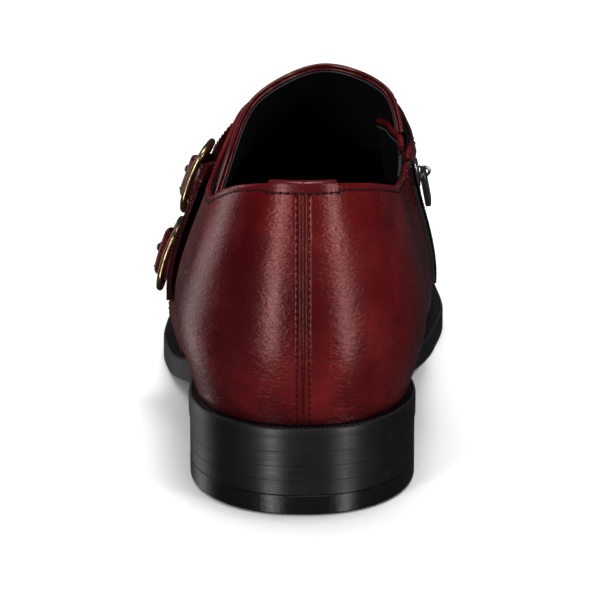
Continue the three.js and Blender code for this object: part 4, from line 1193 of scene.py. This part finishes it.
def strap_piece(name, table):
    middle = way_along(table)
    along = np.concatenate([np.linspace(0, STRAP_TIP, 170)[:-1],
                            STRAP_TIP + (1 - STRAP_TIP) * np.sin(np.linspace(0, math.pi / 2, 14))])
    share = np.sin(np.linspace(-math.pi / 2, math.pi / 2, 25))
    rounding = np.abs(share) ** 9
    reach = share[None, :] * strap_half(along)[:, None]
    row = np.abs(np.abs(reach) - (STRAP_WIDE / 2 - STRAP_SEAM_IN))
    sunk = 0.12 * bell(row, 0.4)
    under, _ = laid(middle, along[:, None], -reach, 0.5 * STRAP_THICK * rounding[None, :])
    above, _ = laid(middle, along[:, None], -reach,
                    STRAP_THICK * (1 - 0.42 * rounding[None, :]) - sunk)
    worn = np.maximum(0.85 * rounding[None, :] + 0 * reach, 0.5 * bell(row, 0.4))
    run = np.linspace(0.012, STRAP_TIP, 260)
    rows = [laid(middle, run, hand * (STRAP_WIDE / 2 - STRAP_SEAM_IN), STRAP_THICK)
            for hand in (-1, 1)]
    return sheet(name, under, above, calf_strap, 60, worn), rows


strap_rows = []
for name, table, node in (("strap_upper_calf", UPPER_STRAP, "strap_upper"),
                          ("strap_lower_calf", LOWER_STRAP, "strap_lower")):
    strap, rows = strap_piece(name, table)
    strap_rows += rows
    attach(strap, "shoe")
    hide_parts(node)
strap_stitches = run_rows("strap_stitches", bead_row, strap_rows, STITCH, thread_finish)
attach(strap_stitches, "shoe")

# ------------------------------------------------------------------ buckle flap
# A doubled leaf of calf under the buckles is sewn down along its front edge. Its rear edge
# is painted and stands a little off the quarter.
FLAP = {
    "over": (-0.762, -0.73, -0.66, -0.56, -0.505, -0.475),
    "rear": (109, 97, 88, 82, 81, 90),
    "front": (119, 130, 134, 130, 120, 106),
}
FLAP_THICK, FLAP_STAND = 1.6, 2.0


def flap_at(across, along, lift):
    y, over = panel_spot(FLAP, across, along)
    out = form_out(y, over)
    stand = JOINT + FLAP_STAND * np.maximum(0, 1 - along * 2.2) ** 2
    return on_form(y, over) + out * (lift + stand)[..., None], out


flap_top = slab("flap_calf", flap_at, 70, 44, 0.82, FLAP_THICK, calf_strap,
                lambda a, b: 0.8 * bell(np.minimum(b, 1 - b), 0.03))
flap_back = slab("flap_lining", flap_at, 70, 44, 0.0, 0.76, calf_strap,
                 lambda a, b: 0.6 + 0 * a)
rim_run = np.linspace(0.06, 0.94, 120)
flap_rows = [flap_at(rim_run, along, FLAP_THICK) for along in (0.07, 0.93)]
flap_stitches = run_rows("flap_stitches", bead_row, flap_rows, STITCH, thread_finish)
for piece in (flap_top, flap_back, flap_stitches):
    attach(piece, "shoe")
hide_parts("buckle_flap")

# ------------------------------------------------------------------ buckles
# Cast brass frames with rounded corners, tumbled and aged so that the hollows stay brown
# and the high edges shine. A bar crosses each frame and carries the strap and the prong.
BUCKLE = {"long": 20.0, "tall": 25.0, "corner": 5.5, "wire": 1.3, "bar": 1.0, "lift": 6.4,
          "bow": 1.2}
BUCKLES = (
    {"name": "buckle_upper", "table": UPPER_STRAP},
    {"name": "buckle_lower", "table": LOWER_STRAP},
)
PRONG = {"along": (0.4, 1.4, 3, 5.5, 8, 10.2), "out": (2.1, 3.3, 3.5, 3.1, 2.6, 2.2)}
PRONG_WIRE = 0.8
brass = Finish("antique_brass")
tarnish = brass.between(brass.noise(240.0, 4.0, 0.6, 0.4), 0.40, 0.70)
pits = brass.noise(900.0, 3.0)
edge_light = brass.wire(brass.node("ShaderNodeNewGeometry").outputs["Pointiness"])
worn_bright = brass.between(edge_light, 0.47, 0.56)
brass_tone = brass.blend(tarnish, (0.30, 0.20, 0.10, 1), (0.12, 0.072, 0.034, 1))
brass_tone = brass.blend(worn_bright * 0.5, brass_tone, (0.52, 0.40, 0.22, 1))
brass_finish = brass.close(brass_tone, tarnish * 0.16 + pits * 0.08 + 0.20, pits * 0.02,
                           Metallic=1.0)


def spot_on_form(here, ahead, behind, lift):
    """A middle at a lift over the form, and its directions: along, across and outwards."""
    middle, *ends = (on_form(np.array(float(y)), np.array(over))
                     for y, over in (here, ahead, behind))
    out = form_out(np.array(float(here[0])), np.array(here[1]))
    along = ends[0] - ends[1]
    along = unit(along - out * (along @ out))
    return middle + out * lift, along, np.cross(out, along), out


def from_spot(spot, along, across, out):
    middle, ahead, sideways, outward = spot
    along, across, out = np.broadcast_arrays(*(np.asarray(v, float) for v in (along, across, out)))
    return (middle + along[..., None] * ahead + across[..., None] * sideways
            + out[..., None] * outward)


def rounded_outline(wide, top, bottom, corner, steps=8):
    """Corners of a rounded plate: places across and along it, counted round once."""
    half = wide / 2 - corner
    outline = []
    for across, along, start in ((half, bottom - corner, 0), (-half, bottom - corner, 1),
                                 (-half, top + corner, 2), (half, top + corner, 3)):
        turn = (start + np.linspace(0, 1, steps)) * math.pi / 2
        outline.append(np.stack([across + np.cos(turn) * corner,
                                 along + np.sin(turn) * corner], axis=1))
    return np.concatenate(outline)


def frame_path(count=160):
    """The middle line of a buckle frame, evenly spaced, and half its height."""
    half_tall = BUCKLE["tall"] / 2 - BUCKLE["wire"]
    ring = rounded_outline(BUCKLE["long"] - 2 * BUCKLE["wire"], -half_tall, half_tall,
                           BUCKLE["corner"], 13)
    ring = np.concatenate([ring, ring[:1]])
    run = np.concatenate([[0], np.cumsum(np.linalg.norm(np.diff(ring, axis=0), axis=1))])
    even = np.linspace(0, run[-1], count, endpoint=False)
    return np.stack([np.interp(even, run, ring[:, k]) for k in (0, 1)], axis=1), half_tall


for row in BUCKLES:
    stops = list(zip(row["table"]["from_heel"], row["table"]["over"]))
    spot = spot_on_form(stops[BAR_STOP], stops[BAR_STOP - 1], stops[BAR_STOP + 1],
                        BUCKLE["lift"])
    flat, half_tall = frame_path()
    ring = from_spot(spot, flat[:, 0], flat[:, 1], -BUCKLE["bow"] * (flat[:, 1] / half_tall) ** 2)
    wire = tube(row["name"] + "_brass", ring, spot[3], BUCKLE["wire"], BUCKLE["wire"] * 0.92,
                brass_finish, 20, closed=True)
    reach = np.linspace(-half_tall, half_tall, 24)
    bar = tube(row["name"] + "_bar",
               from_spot(spot, 0 * reach, reach, -BUCKLE["bow"] * (reach / half_tall) ** 2),
               spot[3], BUCKLE["bar"], BUCKLE["bar"], brass_finish, 16)
    run = np.linspace(PRONG["along"][0], PRONG["along"][-1], 40)
    rise = column(PRONG, "out", "along")(run)
    prong = tube(row["name"] + "_prong_brass", from_spot(spot, run, 0 * run, rise),
                 spot[3], PRONG_WIRE * 1.15, PRONG_WIRE * 0.9, brass_finish, 14)
    for piece in (wire, bar, prong):
        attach(piece, "shoe")
    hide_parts(row["name"] + "_frame")
    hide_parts(row["name"] + "_prong")

# ------------------------------------------------------------------ zip
# A short metal zip in the inner side: black woven tapes behind the slot, two rows of
# interlocked teeth, a plated slider with its wire bridge, and a black leather pull tab.
ZIP_TAPE_WIDE, ZIP_TAPE_IN, ZIP_LONG = 12.0, 1.4, 22.0
ZIP_AT = {"from_heel": 76.0, "over": 0.463}
TEETH = {"wide": 4.0, "thick": 2.4, "from": -0.9}
SLIDER = {"long": 8.5, "wide": 6.5, "thick": 0.9, "from": 1.6, "corner": 1.6}
PULL = {"long": 12.5, "wide": 6.0, "thick": 1.8, "from": 2.9, "top": 0.7, "eye": 1.8,
        "eye_down": 2.35, "corner": 1.4}
BRIDGE = {"reach": 2.1, "rise": 3.8, "wire": 0.5, "pivot": 0.3}
TOOTH = {"pitch": 1.25, "long": 0.62, "wide": 2.1, "tall": 1.1, "lift": 0.0}

steel_finish = stirred_finish("zip_steel", (420.0, 4.0, 0.6), (0.24, 0.245, 0.255, 1),
                              (0.62, 0.62, 0.63, 1), (0.12, 0.20), 0.02, Metallic=1.0)
teeth_finish = stirred_finish("zip_gunmetal", (600.0, 3.0), (0.02, 0.02, 0.022, 1),
                              (0.09, 0.09, 0.095, 1), (0.1, 0.28), 0.01, Metallic=1.0)
tape = Finish("zip_tape_weave")
weave = {"Vector": tape.place, "Scale": 620.0, "Distortion": 0.6}
weft = tape.wire(tape.node("ShaderNodeTexWave", weave, bands_direction="Z").outputs["Fac"])
tape_fuzz = tape.noise(1800.0, 2.0)
tape_finish = tape.close(
    tape.blend(weft, (0.004, 0.004, 0.0045, 1), (0.016, 0.016, 0.017, 1)),
    tape_fuzz * 0.1 + 0.72, weft * 0.12 + tape_fuzz * 0.04)
tab_leather = Finish("pull_black_leather")
tab_grain = tab_leather.cells(1100.0)
tab_finish = tab_leather.close(
    tab_leather.blend(tab_leather.noise(300.0), (0.006, 0.006, 0.007, 1), (0.02, 0.02, 0.021, 1)),
    tab_leather.noise(200.0) * 0.1 + 0.28, tab_grain * 0.03, Coat_Weight=0.3,
    Coat_Roughness=0.2)

teeth_tree = row_tree("tooth_row", "block")
tape_middle = way_along({k: v[1:] for k, v in ZIP_LINE.items()})


def tape_at(along, across, lift):
    behind = UPPER_WALL + JOINT + ZIP_TAPE_IN
    return laid(tape_middle, along, (across - 0.5) * ZIP_TAPE_WIDE, lift - behind)


zip_tape = slab("zip_tapes", tape_at, 60, 24, 0.0, 1.0, tape_finish)
tooth_paths = []
tooth_run = np.linspace(0.0, 1.0, 120)
tooth_lift = TEETH["from"] + TEETH["thick"] - TOOTH["tall"] / 2
for hand, shift in ((-1, 0.0), (1, 0.5)):
    begin = shift * TOOTH["pitch"] / ZIP_LONG
    run = begin + tooth_run * (1 - begin)
    tooth_paths.append(laid(tape_middle, run, hand * 0.75, tooth_lift))
teeth = run_rows("zip_teeth_row", teeth_tree, tooth_paths, TOOTH, teeth_finish)


def band_at(along, across, lift):
    return laid(tape_middle, along, (across - 0.5) * TEETH["wide"], lift + TEETH["from"])


zip_band = slab("zip_band", band_at, 60, 10, 0.0, TEETH["thick"] - 0.8, tape_finish)
cord_runs = [tube("zip_cord_" + label, *laid(tape_middle, tooth_run, hand * 1.5, tooth_lift - 0.4),
                  0.42, 0.5, tape_finish, 8) for label, hand in (("rear", -1), ("front", 1))]
for piece in [zip_tape, zip_band, teeth] + cord_runs:
    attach(piece, "shoe")
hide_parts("zip_tape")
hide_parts("zip_teeth")


_, above, below, *_ = zip(ZIP_LINE["from_heel"], ZIP_LINE["over"])
zip_spot = spot_on_form((ZIP_AT["from_heel"], ZIP_AT["over"]), below, above, 0.0)


def rounded_plate(name, outline, hole, low, high, finish, soft):
    """A plate with its rims rounded; a round hole through it if one is given."""
    layers = []
    middle = outline.mean(axis=0)
    for out, inset in ((low, soft), (low + soft * 0.3, soft * 0.3), (low + soft, 0.0),
                       (high - soft, 0.0), (high - soft * 0.3, soft * 0.3), (high, soft)):
        drawn = middle + (outline - middle) * (1 - inset / np.linalg.norm(
            outline - middle, axis=1).max())
        layers.append(from_spot(zip_spot, drawn[:, 1], drawn[:, 0], np.full(len(drawn), out)))
    count = len(outline)
    points = np.array(layers).reshape(-1, 3)
    faces = quads(len(layers), count, wrap=True)
    if hole is None:
        faces += end_faces(len(layers), count)
    else:
        down, radius = hole
        angle = np.arctan2(outline[:, 1] - middle[1], outline[:, 0] - middle[0])
        rim = np.stack([np.cos(angle) * radius, down + np.sin(angle) * radius], axis=1)
        start = len(points)
        for out in (low, low + (high - low) / 2, high):
            points = np.concatenate([points, from_spot(
                zip_spot, rim[:, 1], rim[:, 0], np.full(count, out))])
        faces += quads(3, count, wrap=True, start=start)
        for outer_row, inner_row in ((0, start), ((len(layers) - 1) * count, start + 2 * count)):
            faces += [[outer_row + i, outer_row + (i + 1) % count,
                       inner_row + (i + 1) % count, inner_row + i] for i in range(count)]
    return leather_piece(name, points, faces, finish, 50)


slider_top = SLIDER["from"] + SLIDER["thick"]
slider = rounded_plate("zip_slider_steel", rounded_outline(
    SLIDER["wide"], -SLIDER["long"] / 2, SLIDER["long"] / 2, SLIDER["corner"]), None,
    SLIDER["from"], slider_top, steel_finish, 0.35)
turn = np.linspace(0, math.pi, 28)
bridge_path = from_spot(zip_spot, np.cos(turn) * BRIDGE["reach"], 0 * turn,
                        slider_top - 0.3 + np.sin(turn) * BRIDGE["rise"])
bridge = tube("zip_bridge", bridge_path, zip_spot[2], BRIDGE["wire"], BRIDGE["wire"],
              steel_finish, 12)
pull_top = BRIDGE["pivot"] - PULL["top"]
pull = rounded_plate("zip_pull_tab", rounded_outline(
    PULL["wide"], pull_top, pull_top + PULL["long"], PULL["corner"]),
    (BRIDGE["pivot"] + PULL["eye_down"], PULL["eye"]),
    PULL["from"], PULL["from"] + PULL["thick"], tab_finish, 0.4)
for piece in (slider, bridge):
    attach(piece, "shoe")
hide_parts("zip_slider")
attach(pull, "zip_pull")
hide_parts("zip_pull")

# ------------------------------------------------------------------ studio
# A seamless pale floor, three tall soft boxes round the heel, a small one above it, two wide
# ones over the floor, and a camera that looks down a little on the back of the heel.
FLOOR_UP = -0.0004
paper = Finish("studio_paper")
paper_shade = paper.noise(3.0, 2.0)
paper_finish = paper.close(
    paper.blend(paper_shade, (0.86, 0.86, 0.865, 1), (0.88, 0.88, 0.885, 1)),
    paper_shade * 0.05 + 0.55, paper.noise(500.0) * 0.01)
for name, near, far in (("floor_under_toe", 0.0, 7.0), ("floor_under_heel", -7.0, 0.0)):
    ground = bpy.data.meshes.new(name)
    ground.from_pydata([(x, y, FLOOR_UP) for x, y in (
        (-7, near), (7, near), (7, far), (-7, far))], [], [(0, 1, 2, 3)])
    ground.materials.append(paper_finish)
    floor = stand(name, ground)
    floor.visible_glossy = False

bpy.context.scene.view_settings.view_transform = "Standard"
world = bpy.data.worlds.new("studio_room")
bpy.context.scene.world = world
world.use_nodes = True
world.node_tree.nodes["Background"].inputs["Color"].default_value = (0.9, 0.93, 1.0, 1)
world.node_tree.nodes["Background"].inputs["Strength"].default_value = 0.04


def soft_box(name, place, aim, wide, tall, power, glossy=True):
    light = bpy.data.lights.new(name, "AREA")
    light.shape = "RECTANGLE"
    light.size = wide
    light.size_y = tall
    light.energy = power
    box = stand(name, light)
    box.location = place
    box.visible_glossy = glossy
    box.rotation_euler = (Vector(aim) - Vector(place)).to_track_quat("-Z", "Y").to_euler()


for box in (
    ("box_left", (-0.84, -1.36, 0.20), (0, 0.05, 0.10), 0.34, 1.9, 30),
    ("box_right", (1.20, -1.08, 0.20), (0, 0.05, 0.10), 0.34, 1.9, 24),
    ("box_side", (-1.10, 1.10, 0.20), (0, 0.05, 0.10), 0.40, 1.9, 4),
    ("box_crown", (0.10, -0.10, 1.60), (0, 0.05, 0.10), 0.40, 0.40, 12),
    ("box_top", (0, 1.0, 2.2), (0, 0.9, 0), 3.4, 2.0, 62, False),
    ("box_far", (0, 3.2, 1.6), (0, 0.8, 0), 3.6, 1.8, 60, False),
):
    soft_box(*box)

camera = bpy.data.cameras.new("camera")
camera.lens = 172.0
camera.sensor_width = 36.0
camera.clip_end = 50
viewer = stand("camera", camera)
viewer.location = (0, HEEL_BACK - 0.827, 0.289)
viewer.rotation_euler = (math.radians(75), 0, 0)
bpy.context.scene.camera = viewer
